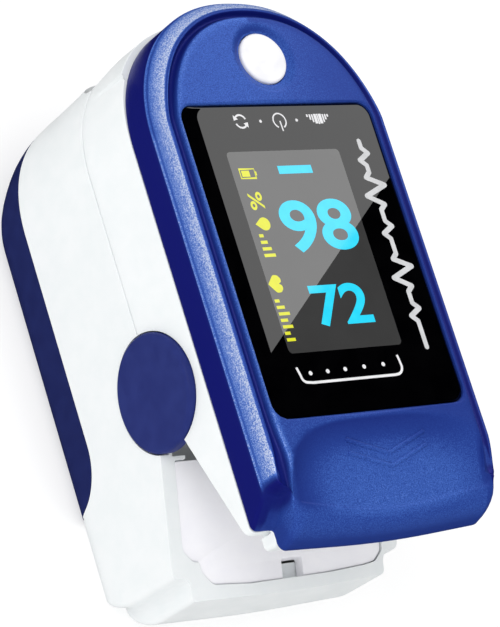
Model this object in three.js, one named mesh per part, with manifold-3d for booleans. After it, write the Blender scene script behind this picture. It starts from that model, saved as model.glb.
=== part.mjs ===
// Fingertip pulse oximeter: two sprung halves on a cross pin, like a clothes peg.
// Millimetres, +Z up, +Y towards the finger end, origin under the middle of the footprint.
import * as THREE from 'three';
import { mergeVertices } from 'three/addons/utils/BufferGeometryUtils.js';
import Module from 'manifold-3d';

const wasm = await Module();
wasm.setup();

// ---------------------------------------------------------------- driving dimensions
const HALF_W = 15.1;         // half width of both casings at the seam
const COVER_HALF_W = 14.5;   // half width of the blue cover
const ARCH_Y = 14.85;        // centre of the arch in plan
const END_Y = -29.74;        // push end of the cover, its furthest point
const SEAM_Z = 19.6;         // seam between the halves, and height of the hinge pin
const GAP = 0.3;             // running gap between the two halves
const PIVOT_Y = -8.7;        // hinge pin
const PIVOT_Z = 19.6;
const WALL = 1.5;            // casing wall
const LOWER_END_Y = -29.4;   // push end of the lower casing
const UPPER_END_Y = -28.55;  // push end of the upper casing, behind the cover's end wall
const NOTCH_Y = -26.75;      // corner notches begin here
const TONGUE_W = 12.9;       // half width of the tongue past the notches
const SLOPE_LOW = 0.3257;    // slope of the lower casing's top edge behind the pin
const SLOPE_UP = 0.378;      // slope of the upper casing's lower edge behind the pin
const COVER_Z0 = 26.95;      // cover's lower edge
const RIDGE_Z = 30.9;        // top of the cover's upright side wall
const RIM_Z = 33.2;          // crest of the cover's rim
const GROOVE_Z = 32.85;      // groove between the rim and the raised face
const FACE_Z = 33.78;        // cover's raised face, its highest point
const FACE_HALF_W = 13.3;    // half width of the raised face
const FACE_ARCH_Y = 13.85;   // centre of the raised face's arch
const GLASS_Z = 33.6;        // window's face
const GLASS_X = 12.6;        // window half width
const GLASS_Y0 = -17.4;      // window's two ends
const GLASS_Y1 = 16.7;
const GLASS_R = 2.8;
const BUTTON_Y = 21.95;
const BUTTON_R = 2.85;
const CAP_R = 6.37;          // pivot cap
const CAP_X = 15.55;         // outer face of the caps
const DOOR_Z = 6.1;          // door's upper edge on the sides
const DOOR_Y0 = -15.6;       // door's end on the underside
const OPEN_A = 11.4;         // finger opening in the casings, half width and half height
const OPEN_B = 6.2;
const CHAN_A = 8.8;          // finger channel between the pads
const CHAN_B = 4.6;
const CELL_R = 5.25;         // AAA cell
const CELL_L = 43.3;         // can length, the nub is 0.9 more
const CELL_X = 5.6;
const CELL_Z = 6.95;

// ---------------------------------------------------------------- helpers
const toSolid = (geometry) => {
  const g = geometry.clone();
  g.deleteAttribute('normal');
  g.deleteAttribute('uv');
  const m = mergeVertices(g, 1e-4);
  return new wasm.Manifold(new wasm.Mesh({
    numProp: 3,
    vertProperties: new Float32Array(m.attributes.position.array),
    triVerts: new Uint32Array(m.index.array),
  }));
};
const toGeometry = (solid) => {
  const mesh = solid.getMesh();
  const g = new THREE.BufferGeometry();
  g.setAttribute('position', new THREE.BufferAttribute(new Float32Array(mesh.vertProperties), 3));
  g.setIndex(new THREE.BufferAttribute(new Uint32Array(mesh.triVerts), 1));
  g.computeVertexNormals();
  return g;
};
const arc = (cx, cy, r, a0, a1, n, ry = r) => {
  const out = [];
  for (let i = 0; i <= n; i += 1) {
    const a = a0 + (a1 - a0) * i / n;
    out.push([cx + r * Math.cos(a), cy + ry * Math.sin(a)]);
  }
  return out;
};
const shapeOf = (pts) => {
  const clean = pts.filter((p, i) => {
    const q = pts[(i + pts.length - 1) % pts.length];
    return Math.hypot(p[0] - q[0], p[1] - q[1]) > 1e-4;
  });
  return new THREE.Shape(clean.map((p) => new THREE.Vector2(p[0], p[1])));
};
const extrude = (pts, depth, extra = {}) => new THREE.ExtrudeGeometry(shapeOf(pts), { depth, bevelEnabled: false, ...extra });
const prismZ = (pts, z0, z1, extra) => toSolid(extrude(pts, z1 - z0, extra).translate(0, 0, z0));
const intoX = new THREE.Matrix4().set(0, 0, 1, 0, 1, 0, 0, 0, 0, 1, 0, 0, 0, 0, 0, 1);
const prismX = (pts, x0, x1) => toSolid(extrude(pts, x1 - x0).translate(0, 0, x0).applyMatrix4(intoX));
const intoY = new THREE.Matrix4().set(1, 0, 0, 0, 0, 0, -1, 0, 0, 1, 0, 0, 0, 0, 0, 1);
const prismY = (pts, y0, y1) => toSolid(extrude(pts, y1 - y0).translate(0, 0, -y1).applyMatrix4(intoY));
const box = (x0, x1, y0, y1, z0, z1) => toSolid(
  new THREE.BoxGeometry(x1 - x0, y1 - y0, z1 - z0).translate((x0 + x1) / 2, (y0 + y1) / 2, (z0 + z1) / 2));
const disc = (r, n = 32, cx = 0, cy = 0) => arc(cx, cy, r, 0, 2 * Math.PI * (1 - 1 / n), n - 1);
const rodX = (y, z, r, x0, x1, n = 28) => prismX(disc(r, n, y, z), x0, x1);
const rodZ = (x, y, r, z0, z1, n = 28) => prismZ(disc(r, n, x, y), z0, z1);
const rodY = (x, z, r, y0, y1, n = 24) => prismY(disc(r, n, x, z), y0, y1);
// plan outline: arch at the finger end, straight sides, rounded corners at the push end
const plan = (hw, yEnd, r = 1, n = 24) => [
  ...arc(0, ARCH_Y, hw, 0, Math.PI, n),
  ...arc(-hw + r, yEnd + r, r, Math.PI, 1.5 * Math.PI, 4),
  ...arc(hw - r, yEnd + r, r, 1.5 * Math.PI, 2 * Math.PI, 4),
];
const roundRect = (x0, x1, y0, y1, r, n = 4) => [
  ...arc(x1 - r, y1 - r, r, 0, Math.PI / 2, n),
  ...arc(x0 + r, y1 - r, r, Math.PI / 2, Math.PI, n),
  ...arc(x0 + r, y0 + r, r, Math.PI, 1.5 * Math.PI, n),
  ...arc(x1 - r, y0 + r, r, 1.5 * Math.PI, 2 * Math.PI, n),
];
const ellipseY = (a, b, y0, y1, n = 40) => prismY(arc(0, SEAM_Z, a, 0, 2 * Math.PI * (1 - 1 / n), n - 1, b), y0, y1);
const union = (...parts) => parts.reduce((a, b) => a.add(b));
const cut = (base, ...tools) => tools.reduce((a, b) => a.subtract(b), base);

const lowTop = (y) => SEAM_Z - GAP / 2 + SLOPE_LOW * (y - PIVOT_Y);
const upBottom = (y) => SEAM_Z + GAP / 2 - SLOPE_UP * (y - PIVOT_Y);

const group = new THREE.Group();
const lowerHalf = new THREE.Group();
const upperHalf = new THREE.Group();
group.add(lowerHalf, upperHalf);
const addMesh = (parent, name, solid, color, roughness = 0.5, metalness = 0) => {
  const geometry = solid.isBufferGeometry ? solid : toGeometry(solid);
  const mesh = new THREE.Mesh(geometry, new THREE.MeshStandardMaterial({ color, roughness, metalness }));
  mesh.name = name;
  parent.add(mesh);
  return mesh;
};
const WHITE = 0xf3f6f7;
const BLUE = 0x3c5ab4;
const NAVY = 0x222c62;
const STEEL = 0xb8bcc2;

// ---------------------------------------------------------------- lower half: outer form
const sideLower = [
  [LOWER_END_Y, 22], [LOWER_END_Y, 6.6],
  ...arc(LOWER_END_Y + 6.6, 6.6, 6.6, Math.PI, 1.5 * Math.PI, 6),
  ...arc(21.4, 8.2, 8.2, 1.5 * Math.PI, 1.955 * Math.PI, 6),
  [29.95, 19.45], [29.95, 22],
];
const bevelled = (hw, yEnd, b, z1) => prismZ(plan(hw - b, yEnd + b, 0.8), b, z1,
  { bevelEnabled: true, bevelSize: b, bevelThickness: b, bevelSegments: 3 });
const lowerOuter = bevelled(HALF_W, LOWER_END_Y, 2.6, 26).intersect(prismX(sideLower, -20, 20));
const notch = (z0, z1, w = TONGUE_W) => union(
  box(-20, -w, -40, NOTCH_Y, z0, z1), box(w, 20, -40, NOTCH_Y, z0, z1));

// side outline of the door: flat upper edge, rounded down to its end
const doorSide = (grow) => [
  ...arc(-9.2, 0, 6.4 + grow, Math.PI, Math.PI / 2, 8, DOOR_Z + grow),
  [40, DOOR_Z + grow], [40, -5], [DOOR_Y0 - grow, -5],
];
const doorRegion = prismX(doorSide(0), -20, 20);
const doorRegionWide = prismX(doorSide(GAP), -20, 20);
const insideLower = (inset, z0, z1, yEnd = LOWER_END_Y) => prismZ(plan(HALF_W - inset, yEnd + inset, 0.8), z0, z1);

// ---------------------------------------------------------------- battery door
// inner profile, one wall inside the outer one, so the rounded ends keep their thickness
const sideInner = [
  [-25, 30], [-25, 1.35], [21.0, 1.35],
  ...arc(21.0, 8.0, 6.65, 1.5 * Math.PI, 1.955 * Math.PI, 5),
  [28.4, 19.45], [28.4, 30],
];
let door = lowerOuter.intersect(doorRegion)
  .subtract(insideLower(WALL + 0.1, 1.35, 20).intersect(prismX(sideInner, -20, 20)));
door = cut(door,
  // grip grooves on the underside
  ...[0, 1, 2, 3].map((i) => box(-6, 6, 15.2 + i * 1.6, 15.9 + i * 1.6, -1, 0.35)));

// ---------------------------------------------------------------- lower casing
const lowProfile = prismX([
  [40, SEAM_Z - GAP / 2], [40, -5], [-40, -5], [-40, lowTop(-40)], [PIVOT_Y, SEAM_Z - GAP / 2],
], -20, 20);
let lowerShell = lowerOuter.intersect(lowProfile);
lowerShell = cut(lowerShell, notch(-5, 40), doorRegionWide);
// battery bay, open underneath
lowerShell = cut(lowerShell,
  box(-11.4, 11.4, -26.2, 23.15, 1.5, 12.45).intersect(insideLower(WALL + 0.4, 1.5, 12.45)),
  box(-20, 20, DOOR_Y0 - GAP, 40, -5, 1.7));
// space above the deck
lowerShell = cut(lowerShell,
  insideLower(WALL, 13.15, 30).intersect(box(-20, 20, -14.9, 40, 13.15, 30)),
  ellipseY(OPEN_A, OPEN_B, 0, 40));
// seat for the rear inner cover
const rearPlan = (grow) => [
  [13.25 + grow, -15.35 + grow], [-13.25 - grow, -15.35 + grow], [-13.25 - grow, -23.6 + grow * 0.5],
  ...arc(-12.0, -23.9 - grow * 0.3, 1.2 + grow, Math.PI, 1.5 * Math.PI, 3), [-11.2 - grow, -25.1 - grow],
  [-10.9 - grow, -26.6], ...arc(-9.5, -26.6, 1.3 + grow, Math.PI, 1.5 * Math.PI, 3),
  ...arc(9.5, -26.6, 1.3 + grow, 1.5 * Math.PI, 2 * Math.PI, 3), [10.9 + grow, -26.6],
  [11.2 + grow, -25.1 - grow], ...arc(12.0, -23.9 - grow * 0.3, 1.2 + grow, 1.5 * Math.PI, 2 * Math.PI, 3),
  [13.25 + grow, -23.6 + grow * 0.5],
];
const slopeSlab = (d0, d1) => prismX([
  [-40, lowTop(-40) - d1], [-12, lowTop(-12) - d1], [-12, lowTop(-12) - d0], [-40, lowTop(-40) - d0],
], -20, 20);
lowerShell = cut(lowerShell,
  prismZ(rearPlan(0.25), 8, 30).intersect(slopeSlab(-3, 1.75)),
  // hollow below the rear cover, open at the top
  prismZ(plan(HALF_W - 2.6, -26.0, 0.6), 13.15, 30).intersect(box(-12.0, 12.0, -25.0, -13, 13.15, 30)));
// round recesses for the pivot caps
const capRecess = (side) => rodX(PIVOT_Y, PIVOT_Z, CAP_R + 0.28, side > 0 ? 14.0 : -20, side > 0 ? 20 : -14.0, 40);
lowerShell = cut(lowerShell, capRecess(1), capRecess(-1));
// hinge ears of the lower casing, with the pin bore
const ear = (side, x0, x1, dz, w) => {
  const a = side > 0 ? x0 : -x1; const b = side > 0 ? x1 : -x0;
  return union(rodX(PIVOT_Y, PIVOT_Z, w, a, b, 24),
    dz < 0 ? box(a, b, PIVOT_Y - w, PIVOT_Y + w, 12.9, PIVOT_Z) : box(a, b, PIVOT_Y - w, PIVOT_Y + w, PIVOT_Z, 26.4));
};
lowerShell = union(lowerShell, ear(1, 11.3, 12.6, -1, 3.4), ear(-1, 11.3, 12.6, -1, 3.4));
lowerShell = cut(lowerShell, rodX(PIVOT_Y, PIVOT_Z, 1.12, -20, 20, 20));

// ---------------------------------------------------------------- rear inner cover in the V gap
const rearCover = cut(
  prismZ(rearPlan(0), 8, 30).intersect(slopeSlab(0.25, 1.5)),
  // finger notch at its outer edge
  box(-0.6, 2.2, -40, -25.9, 8, 30));

// ---------------------------------------------------------------- finger pads
const padBand = cut(
  ellipseY(OPEN_A - 0.3, OPEN_B - 0.3, -2.4, 40),
  ellipseY(CHAN_A, CHAN_B, -0.9, 41));
const padTrim = prismZ(plan(HALF_W - 1.1, -10, 1), 5, 40);
let lowerPad = padBand.intersect(padTrim).intersect(box(-20, 20, -2.4, 40, 5, SEAM_Z - GAP / 2));
lowerPad = cut(lowerPad, ellipseY(CHAN_A, CHAN_B, -0.9, 41));
lowerPad = cut(lowerPad, box(-5.1, 5.1, 5.3, 14.7, 10, 14.25), box(-2.9, 2.9, 6.6, 13.4, 10, 18));
let upperPad = padBand.intersect(padTrim).intersect(box(-20, 20, -2.4, 40, SEAM_Z + GAP / 2, 40));
upperPad = cut(upperPad, box(-5.1, 5.1, 5.3, 14.7, 24.95, 40), box(-2.9, 2.9, 6.6, 13.4, 22, 40));

// ---------------------------------------------------------------- upper half: casing
const taper = (geometry, z0, z1, k) => {
  const p = geometry.attributes.position;
  for (let i = 0; i < p.count; i += 1) {
    const t = (p.getZ(i) - z0) / (z1 - z0);
    const s = 1 + (k - 1) * t;
    p.setX(i, p.getX(i) * s);
    if (p.getY(i) > ARCH_Y) p.setY(i, ARCH_Y + (p.getY(i) - ARCH_Y) * s);
  }
  return geometry;
};
const UP_Z0 = SEAM_Z + GAP / 2;
const UP_Z1 = COVER_Z0 - 0.1;
const upperOuter = toSolid(taper(extrude(plan(HALF_W, UPPER_END_Y, 1), UP_Z1 - UP_Z0).translate(0, 0, UP_Z0), UP_Z0, UP_Z1, 14.5 / 15.1));
const upProfile = prismX([
  [40, UP_Z0], [40, 40], [-40, 40], [-40, upBottom(-40)], [PIVOT_Y, UP_Z0],
], -20, 20);
let upperShell = cut(upperOuter.intersect(upProfile), notch(5, 40, 12.6));
// room under the deck for the hinge and springs, closed by the sloping walls
const upInside = (inset, z0, z1) => prismZ(plan(HALF_W - inset, UPPER_END_Y + inset, 0.6), z0, z1);
const slopeRoof = box(-20, 20, -24.5, 40, 10, 25.9);
upperShell = cut(upperShell,
  upInside(WALL + 0.45, 10, 25.9).intersect(slopeRoof),
  ellipseY(OPEN_A, OPEN_B, 0, 40),
  box(-5.4, 5.4, 5.0, 15.0, 20, 26.1));
upperShell = cut(upperShell, capRecess(1), capRecess(-1));
upperShell = union(upperShell, ear(1, 9.4, 10.9, 1, 3.0), ear(-1, 9.4, 10.9, 1, 3.0));
upperShell = cut(upperShell, rodX(PIVOT_Y, PIVOT_Z, 1.12, -20, 20, 20));
// ribbon slot through the deck and screw holes
const SCREWS = [[-9.6, 20.3], [9.6, 20.3], [-11.0, -22.0], [11.0, -22.0]];
upperShell = cut(upperShell,
  box(-2.6, 2.6, -7.0, -5.4, 25, 28),
  ...SCREWS.map(([x, y]) => rodZ(x, y, 0.75, 15, 30, 16)),
  ...SCREWS.map(([x, y]) => rodZ(x, y, 1.35, 15, 26.0, 16)));

// ---------------------------------------------------------------- blue cover
const coverBody = prismZ(plan(COVER_HALF_W, END_Y, 3.2), COVER_Z0, RIDGE_Z)
  .add(prismZ([
    ...arc(0, 14.1, COVER_HALF_W - 0.3, 0, Math.PI, 24), [-COVER_HALF_W + 0.3, END_Y + 1.2], [COVER_HALF_W - 0.3, END_Y + 1.2]],
  RIDGE_Z - 0.05, RIM_Z - 0.4, { bevelEnabled: true, bevelSize: 0.0001, bevelThickness: 0.0001, bevelSegments: 1 }))
  .add(prismZ([
    ...arc(0, 13.9, COVER_HALF_W - 0.5, 0, Math.PI, 24), [-COVER_HALF_W + 0.5, END_Y + 1.2], [COVER_HALF_W - 0.5, END_Y + 1.2]],
  RIM_Z - 0.6, RIM_Z));
const faceBlock = prismZ([
  ...arc(0, FACE_ARCH_Y, FACE_HALF_W, 0, Math.PI, 24), [-FACE_HALF_W, END_Y + 2], [FACE_HALF_W, END_Y + 2]], RIM_Z - 1, FACE_Z);
const grooveRing = prismZ([
  ...arc(0, FACE_ARCH_Y, FACE_HALF_W + 0.35, 0, Math.PI, 24), [-FACE_HALF_W - 0.35, -24], [FACE_HALF_W + 0.35, -24]], GROOVE_Z, 40)
  .subtract(faceBlock);
let cover = coverBody.add(faceBlock).subtract(grooveRing);
cover = cut(cover, notch(20, 40, 12.6));
// thumb scoop: steep behind the window, then a gentle slope to the lip, and a leaning end wall
const scoopSide = prismX([
  [-17.9, 34.6], [-18.6, 33.7], [-19.8, 33.1], [-22.5, 32.75], [-27.5, 32.15], [-45, 31.9], [-45, 45], [-17.9, 45],
], -20, 20);
const scoopPlan = prismZ(arc(0.2, -27.0, 13.0, 0, 2 * Math.PI * 39 / 40, 39, 8.8), 20, 50);
cover = cut(cover, scoopSide.intersect(scoopPlan));
const endLean = prismX([
  [-27.4, 50], [-27.4, 32.3], [-28.1, 31.6], [END_Y, 28.3], [END_Y, 20], [-45, 20], [-45, 50],
], -20, 20);
cover = cut(cover, endLean, box(-20, 20, -40, -28.75, 20, 28.0));
// hollow underneath
cover = cut(cover,
  prismZ([...arc(0, ARCH_Y, COVER_HALF_W - WALL, 0, Math.PI, 24), [-COVER_HALF_W + WALL, -24.6], [-11.2, -24.6], [-11.2, -27.9], [11.2, -27.9], [11.2, -24.6], [COVER_HALF_W - WALL, -24.6]], 20, 32.1)
    .subtract(box(-20, 20, -40, -18.4, 29.6, 40)));
// window seat, display hole, button hole and its dish
cover = cut(cover,
  prismZ(roundRect(-GLASS_X - 0.3, GLASS_X + 0.3, GLASS_Y0 - 0.3, GLASS_Y1 + 0.3, GLASS_R + 0.3), 32.15, 40),
  box(-9.6, 9.6, -13.2, 14.6, 20, 40),
  rodZ(0, BUTTON_Y, BUTTON_R + 0.2, 20, 40, 32),
  toSolid(new THREE.SphereGeometry(9, 40, 40).rotateX(Math.PI / 2).translate(0, BUTTON_Y, FACE_Z + 8.4)));
// screw bosses hanging from the cover
const BOSS_TOP = 32.6;
cover = union(cover, ...SCREWS.map(([x, y]) => rodZ(x, y, 1.9, COVER_Z0 + 0.1, y < 0 ? 30.4 : BOSS_TOP, 20)));
cover = cut(cover, ...SCREWS.map(([x, y]) => rodZ(x, y, 0.75, 20, 30.2, 16)));

// ---------------------------------------------------------------- window and display
const glass = prismZ(roundRect(-GLASS_X, GLASS_X, GLASS_Y0, GLASS_Y1, GLASS_R, 6), 32.25, GLASS_Z);
const oled = union(
  box(-9.2, 9.2, -12.8, 14.2, 29.35, 30.9),
  box(-7.6, 7.6, -11.2, 12.2, 30.8, 31.4));
let board = prismZ([...arc(0, ARCH_Y, 12.2, 0, Math.PI, 24), [-12.2, -17.6], [12.2, -17.6]], 28.2, 29.2);
board = cut(board, ...SCREWS.map(([x, y]) => rodZ(x, y, 2.2, 20, 40, 20)));
const chip = union(box(-3.5, 3.5, -3.4, 3.6, 27.2, 28.05), box(-4.2, 4.2, -2.8, 3.0, 27.75, 27.95));

// ---------------------------------------------------------------- button and switch
const button = toSolid(new THREE.LatheGeometry([
  [0, 31.45], [3.5, 31.45], [3.5, 31.9], [BUTTON_R, 31.9], [BUTTON_R, 33.25], [2.72, 33.55], [2.3, 33.8], [1.5, 33.93], [0, 33.98],
].map(([r, z]) => new THREE.Vector2(r, z)), 36).rotateX(Math.PI / 2).translate(0, BUTTON_Y, 0));
const switchBody = cut(union(
  box(-2.25, 2.25, BUTTON_Y - 2.25, BUTTON_Y + 2.25, 29.3, 30.65),
  box(-3.0, 3.0, BUTTON_Y - 1.6, BUTTON_Y - 0.9, 29.3, 29.6),
  box(-3.0, 3.0, BUTTON_Y + 0.9, BUTTON_Y + 1.6, 29.3, 29.6)),
rodZ(0, BUTTON_Y, 1.2, 29.85, 33, 20));
const plunger = rodZ(0, BUTTON_Y, 1.0, 30.45, 31.35, 20);

// ---------------------------------------------------------------- optics
const emitterBoard = box(-4.8, 4.8, 5.6, 14.4, 25.15, 25.75);
const emitter = union(box(-1.6, 1.6, 8.7, 11.3, 24.65, 25.05), box(-1.2, 1.2, 9.1, 10.9, 24.55, 24.75));
const emitterWindow = prismZ(roundRect(-2.6, 2.6, 6.9, 13.1, 1.2, 4), 23.95, 24.45);
const sensorBoard = box(-4.8, 4.8, 5.6, 14.4, 13.4, 14.0);
const photodiode = union(box(-1.6, 1.6, 8.6, 11.4, 14.1, 14.5), box(-1.2, 1.2, 9.0, 11.0, 14.4, 14.62));
const sensorWindow = prismZ(roundRect(-2.6, 2.6, 6.9, 13.1, 1.2, 4), 14.72, 15.22);

// ---------------------------------------------------------------- hinge
const pin = rodX(PIVOT_Y, PIVOT_Z, 1.0, -13.85, 13.85, 20);
const cap = (side) => {
  const rim = (r0, xa, xb) => rodX(PIVOT_Y, PIVOT_Z, r0, side > 0 ? xa : -xb, side > 0 ? xb : -xa, 40);
  return union(rim(CAP_R, 14.1, 15.2), rim(CAP_R - 0.35, 15.1, CAP_X));
};
class Coil extends THREE.Curve {
  // torsion spring: leg, coils round the pin, leg
  constructor(x0, x1, r, turns) { super(); Object.assign(this, { x0, x1, r, turns }); }

  getPoint(t, target = new THREE.Vector3()) {
    const leg = 0.16;
    const a0 = -1.15; const a1 = 1.15 + 2 * Math.PI * this.turns;
    if (t < leg) {
      const s = 1 - t / leg;
      return target.set(this.x0, PIVOT_Y + this.r * Math.sin(a0) * 0.35 - 4.6 * s - 0.6, PIVOT_Z - this.r + (-1.75) * s - 0.1)
        .lerp(new THREE.Vector3(this.x0, PIVOT_Y, PIVOT_Z - this.r), 1 - s);
    }
    if (t > 1 - leg) {
      const s = (t - 1 + leg) / leg;
      return new THREE.Vector3(this.x1, PIVOT_Y, PIVOT_Z + this.r)
        .lerp(target.set(this.x1, PIVOT_Y - 6.2, PIVOT_Z + this.r + 1.9), s).clone();
    }
    const u = (t - leg) / (1 - 2 * leg);
    const a = Math.PI * (1 + 2 * this.turns) * u;
    return target.set(this.x0 + (this.x1 - this.x0) * u, PIVOT_Y + this.r * Math.sin(a), PIVOT_Z - this.r * Math.cos(a));
  }
}
const spring = (x0, x1) => {
  const section = new THREE.Shape(arc(0, 0, 0.38, 0, 2 * Math.PI * (5 / 6), 5).map((p) => new THREE.Vector2(p[0], p[1])));
  return toSolid(new THREE.ExtrudeGeometry(section, { steps: 84, bevelEnabled: false, extrudePath: new Coil(x0, x1, 2.4, 3) }));
};

// ---------------------------------------------------------------- battery parts
const cell = (side) => {
  const dir = side; // +1: nub towards the finger end
  const y0 = -21.9; const y1 = y0 + CELL_L;
  const can = rodY(side * CELL_X, CELL_Z, CELL_R, y0, y1, 32);
  const nub = dir > 0 ? rodY(side * CELL_X, CELL_Z, 1.9, y1 - 0.2, y1 + 0.9, 20) : rodY(side * CELL_X, CELL_Z, 1.9, y0 - 0.9, y0 + 0.2, 20);
  return can.add(nub);
};
const plate = (x0, x1, y0, y1, tab) => union(box(x0, x1, y0, y1, 2.4, 11.2), tab);
const linkPlate = box(-9.4, 9.4, 22.45, 22.85, 2.4, 11.2);
const contactPlus = plate(-9.6, -1.6, -25.6, -25.2, box(-7.0, -5.0, -25.6, -25.2, 11.0, 12.2));
const helixSpring = (x, ya, yb, r0, r1) => {
  class Cone extends THREE.Curve {
    getPoint(t, target = new THREE.Vector3()) {
      const a = 2 * Math.PI * 2.5 * t;
      const r = r0 + (r1 - r0) * t;
      return target.set(x + r * Math.cos(a), ya + (yb - ya) * t, CELL_Z + r * Math.sin(a));
    }
  }
  const section = new THREE.Shape(arc(0, 0, 0.28, 0, 2 * Math.PI * (5 / 6), 5).map((p) => new THREE.Vector2(p[0], p[1])));
  return toSolid(new THREE.ExtrudeGeometry(section, { steps: 36, bevelEnabled: false, extrudePath: new Cone() }));
};
const contactMinus = box(1.6, 9.6, -25.6, -25.2, 2.4, 11.2).add(box(5.0, 7.0, -25.6, -25.2, 11.0, 12.2))
  .add(helixSpring(CELL_X, -25.3, -22.3, 3.2, 1.8));

// flexible ribbon from the battery contacts past the pin to the main board
class RibbonPath extends THREE.Curve {
  getPoint(t, target = new THREE.Vector3()) {
    const pts = [[-12.9, 14.2], [-13.0, 16.2], [-12.6, 18.4], [-11.9, 20.4], [-10.2, 22.9], [-8.0, 24.2], [-6.4, 25.4], [-6.2, 26.8], [-6.2, 28.0]];
    const c = new THREE.CatmullRomCurve3(pts.map(([y, z]) => new THREE.Vector3(0, y, z)));
    return c.getPoint(t, target);
  }
}
const ribbon = new THREE.ExtrudeGeometry(
  new THREE.Shape([[-1.9, -0.14], [1.9, -0.14], [1.9, 0.14], [-1.9, 0.14]].map((p) => new THREE.Vector2(p[0], p[1]))),
  { steps: 24, bevelEnabled: false, extrudePath: new RibbonPath() });

// screw: pan head below, shank up into a boss
const screw = ([x, y]) => {
  const s = union(rodZ(x, y, 1.2, 24.9, 25.95, 16), rodZ(x, y, 0.62, 25.8, 29.9, 12));
  return cut(s, box(x - 0.18, x + 0.18, y - 0.8, y + 0.8, 24, 25.3), box(x - 0.8, x + 0.8, y - 0.18, y + 0.18, 24, 25.3));
};

// ---------------------------------------------------------------- scene graph
addMesh(lowerHalf, 'lower_shell', lowerShell, WHITE, 0.45);
addMesh(lowerHalf, 'rear_inner_cover', rearCover, 0xecebef, 0.5);
addMesh(lowerHalf, 'lower_finger_pad', lowerPad, 0x2a2b2e, 0.8);
addMesh(lowerHalf, 'sensor_board', sensorBoard, 0x1f6b3a, 0.5);
addMesh(lowerHalf, 'photodiode', photodiode, 0x22242a, 0.3);
addMesh(lowerHalf, 'sensor_window', sensorWindow, 0x8a3038, 0.15);
addMesh(lowerHalf, 'hinge_pin', pin, STEEL, 0.3, 1);
addMesh(lowerHalf, 'torsion_spring_left', spring(-8.5, -4.8), STEEL, 0.3, 1);
addMesh(lowerHalf, 'torsion_spring_right', spring(8.5, 4.8), STEEL, 0.3, 1);
addMesh(lowerHalf, 'aaa_cell_left', cell(-1), 0x3b7a5a, 0.35, 0.3);
addMesh(lowerHalf, 'aaa_cell_right', cell(1), 0x3b7a5a, 0.35, 0.3);
addMesh(lowerHalf, 'battery_link_plate', linkPlate, STEEL, 0.3, 1);
addMesh(lowerHalf, 'contact_plate_positive', contactPlus, STEEL, 0.3, 1);
addMesh(lowerHalf, 'contact_spring_negative', contactMinus, STEEL, 0.3, 1);
addMesh(lowerHalf, 'flex_ribbon', ribbon, 0xc07820, 0.5);
addMesh(lowerHalf, 'battery_door', door, NAVY, 0.45);
addMesh(upperHalf, 'upper_shell', upperShell, WHITE, 0.45);
addMesh(upperHalf, 'upper_finger_pad', upperPad, 0x2a2b2e, 0.8);
addMesh(upperHalf, 'top_cover', cover, BLUE, 0.4, 0.1);
addMesh(upperHalf, 'display_window', glass, 0x060608, 0.05);
addMesh(upperHalf, 'oled_panel', oled, 0x3e3e3e, 0.3);
addMesh(upperHalf, 'main_board', board, 0x1f6b3a, 0.5);
addMesh(upperHalf, 'controller_chip', chip, 0x18181a, 0.4);
addMesh(upperHalf, 'power_button', button, WHITE, 0.35);
addMesh(upperHalf, 'switch_body', switchBody, 0x1c1c1e, 0.4);
addMesh(upperHalf, 'switch_plunger', plunger, 0x101012, 0.4);
addMesh(upperHalf, 'emitter_board', emitterBoard, 0x1f6b3a, 0.5);
addMesh(upperHalf, 'emitter_led', emitter, 0xd8d8d0, 0.3);
addMesh(upperHalf, 'emitter_window', emitterWindow, 0x8a3038, 0.15);
addMesh(upperHalf, 'pivot_cap_left', cap(-1), NAVY, 0.45);
addMesh(upperHalf, 'pivot_cap_right', cap(1), NAVY, 0.45);
['front_left', 'front_right', 'rear_left', 'rear_right'].forEach((n, i) => addMesh(upperHalf, `cover_screw_${n}`, screw(SCREWS[i]), STEEL, 0.3, 1));

export default group;
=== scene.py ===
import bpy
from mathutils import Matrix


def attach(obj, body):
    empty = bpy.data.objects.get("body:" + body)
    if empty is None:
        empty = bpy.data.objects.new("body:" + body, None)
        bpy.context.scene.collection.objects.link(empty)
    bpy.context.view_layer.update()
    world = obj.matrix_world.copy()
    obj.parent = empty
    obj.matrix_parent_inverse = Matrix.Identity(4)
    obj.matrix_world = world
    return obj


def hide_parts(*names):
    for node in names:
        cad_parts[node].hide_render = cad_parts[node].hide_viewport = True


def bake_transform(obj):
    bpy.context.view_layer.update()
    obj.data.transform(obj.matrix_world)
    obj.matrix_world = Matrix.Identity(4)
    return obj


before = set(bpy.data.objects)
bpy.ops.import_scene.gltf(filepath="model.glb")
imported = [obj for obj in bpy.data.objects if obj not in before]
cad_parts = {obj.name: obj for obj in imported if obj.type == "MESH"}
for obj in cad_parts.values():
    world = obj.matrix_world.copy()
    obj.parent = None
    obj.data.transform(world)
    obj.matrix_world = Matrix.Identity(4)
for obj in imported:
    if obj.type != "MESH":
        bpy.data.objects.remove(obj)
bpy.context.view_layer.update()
# Fingertip pulse oximeter: the visual model on the CAD frame. Built in millimetres, scaled to metres at the end.
import math

import bpy
import numpy as np
from mathutils import Matrix, Vector

ARCH_Y = 14.85
PIVOT_Y, PIVOT_Z = -8.7, 19.6
PI = math.pi


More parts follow.
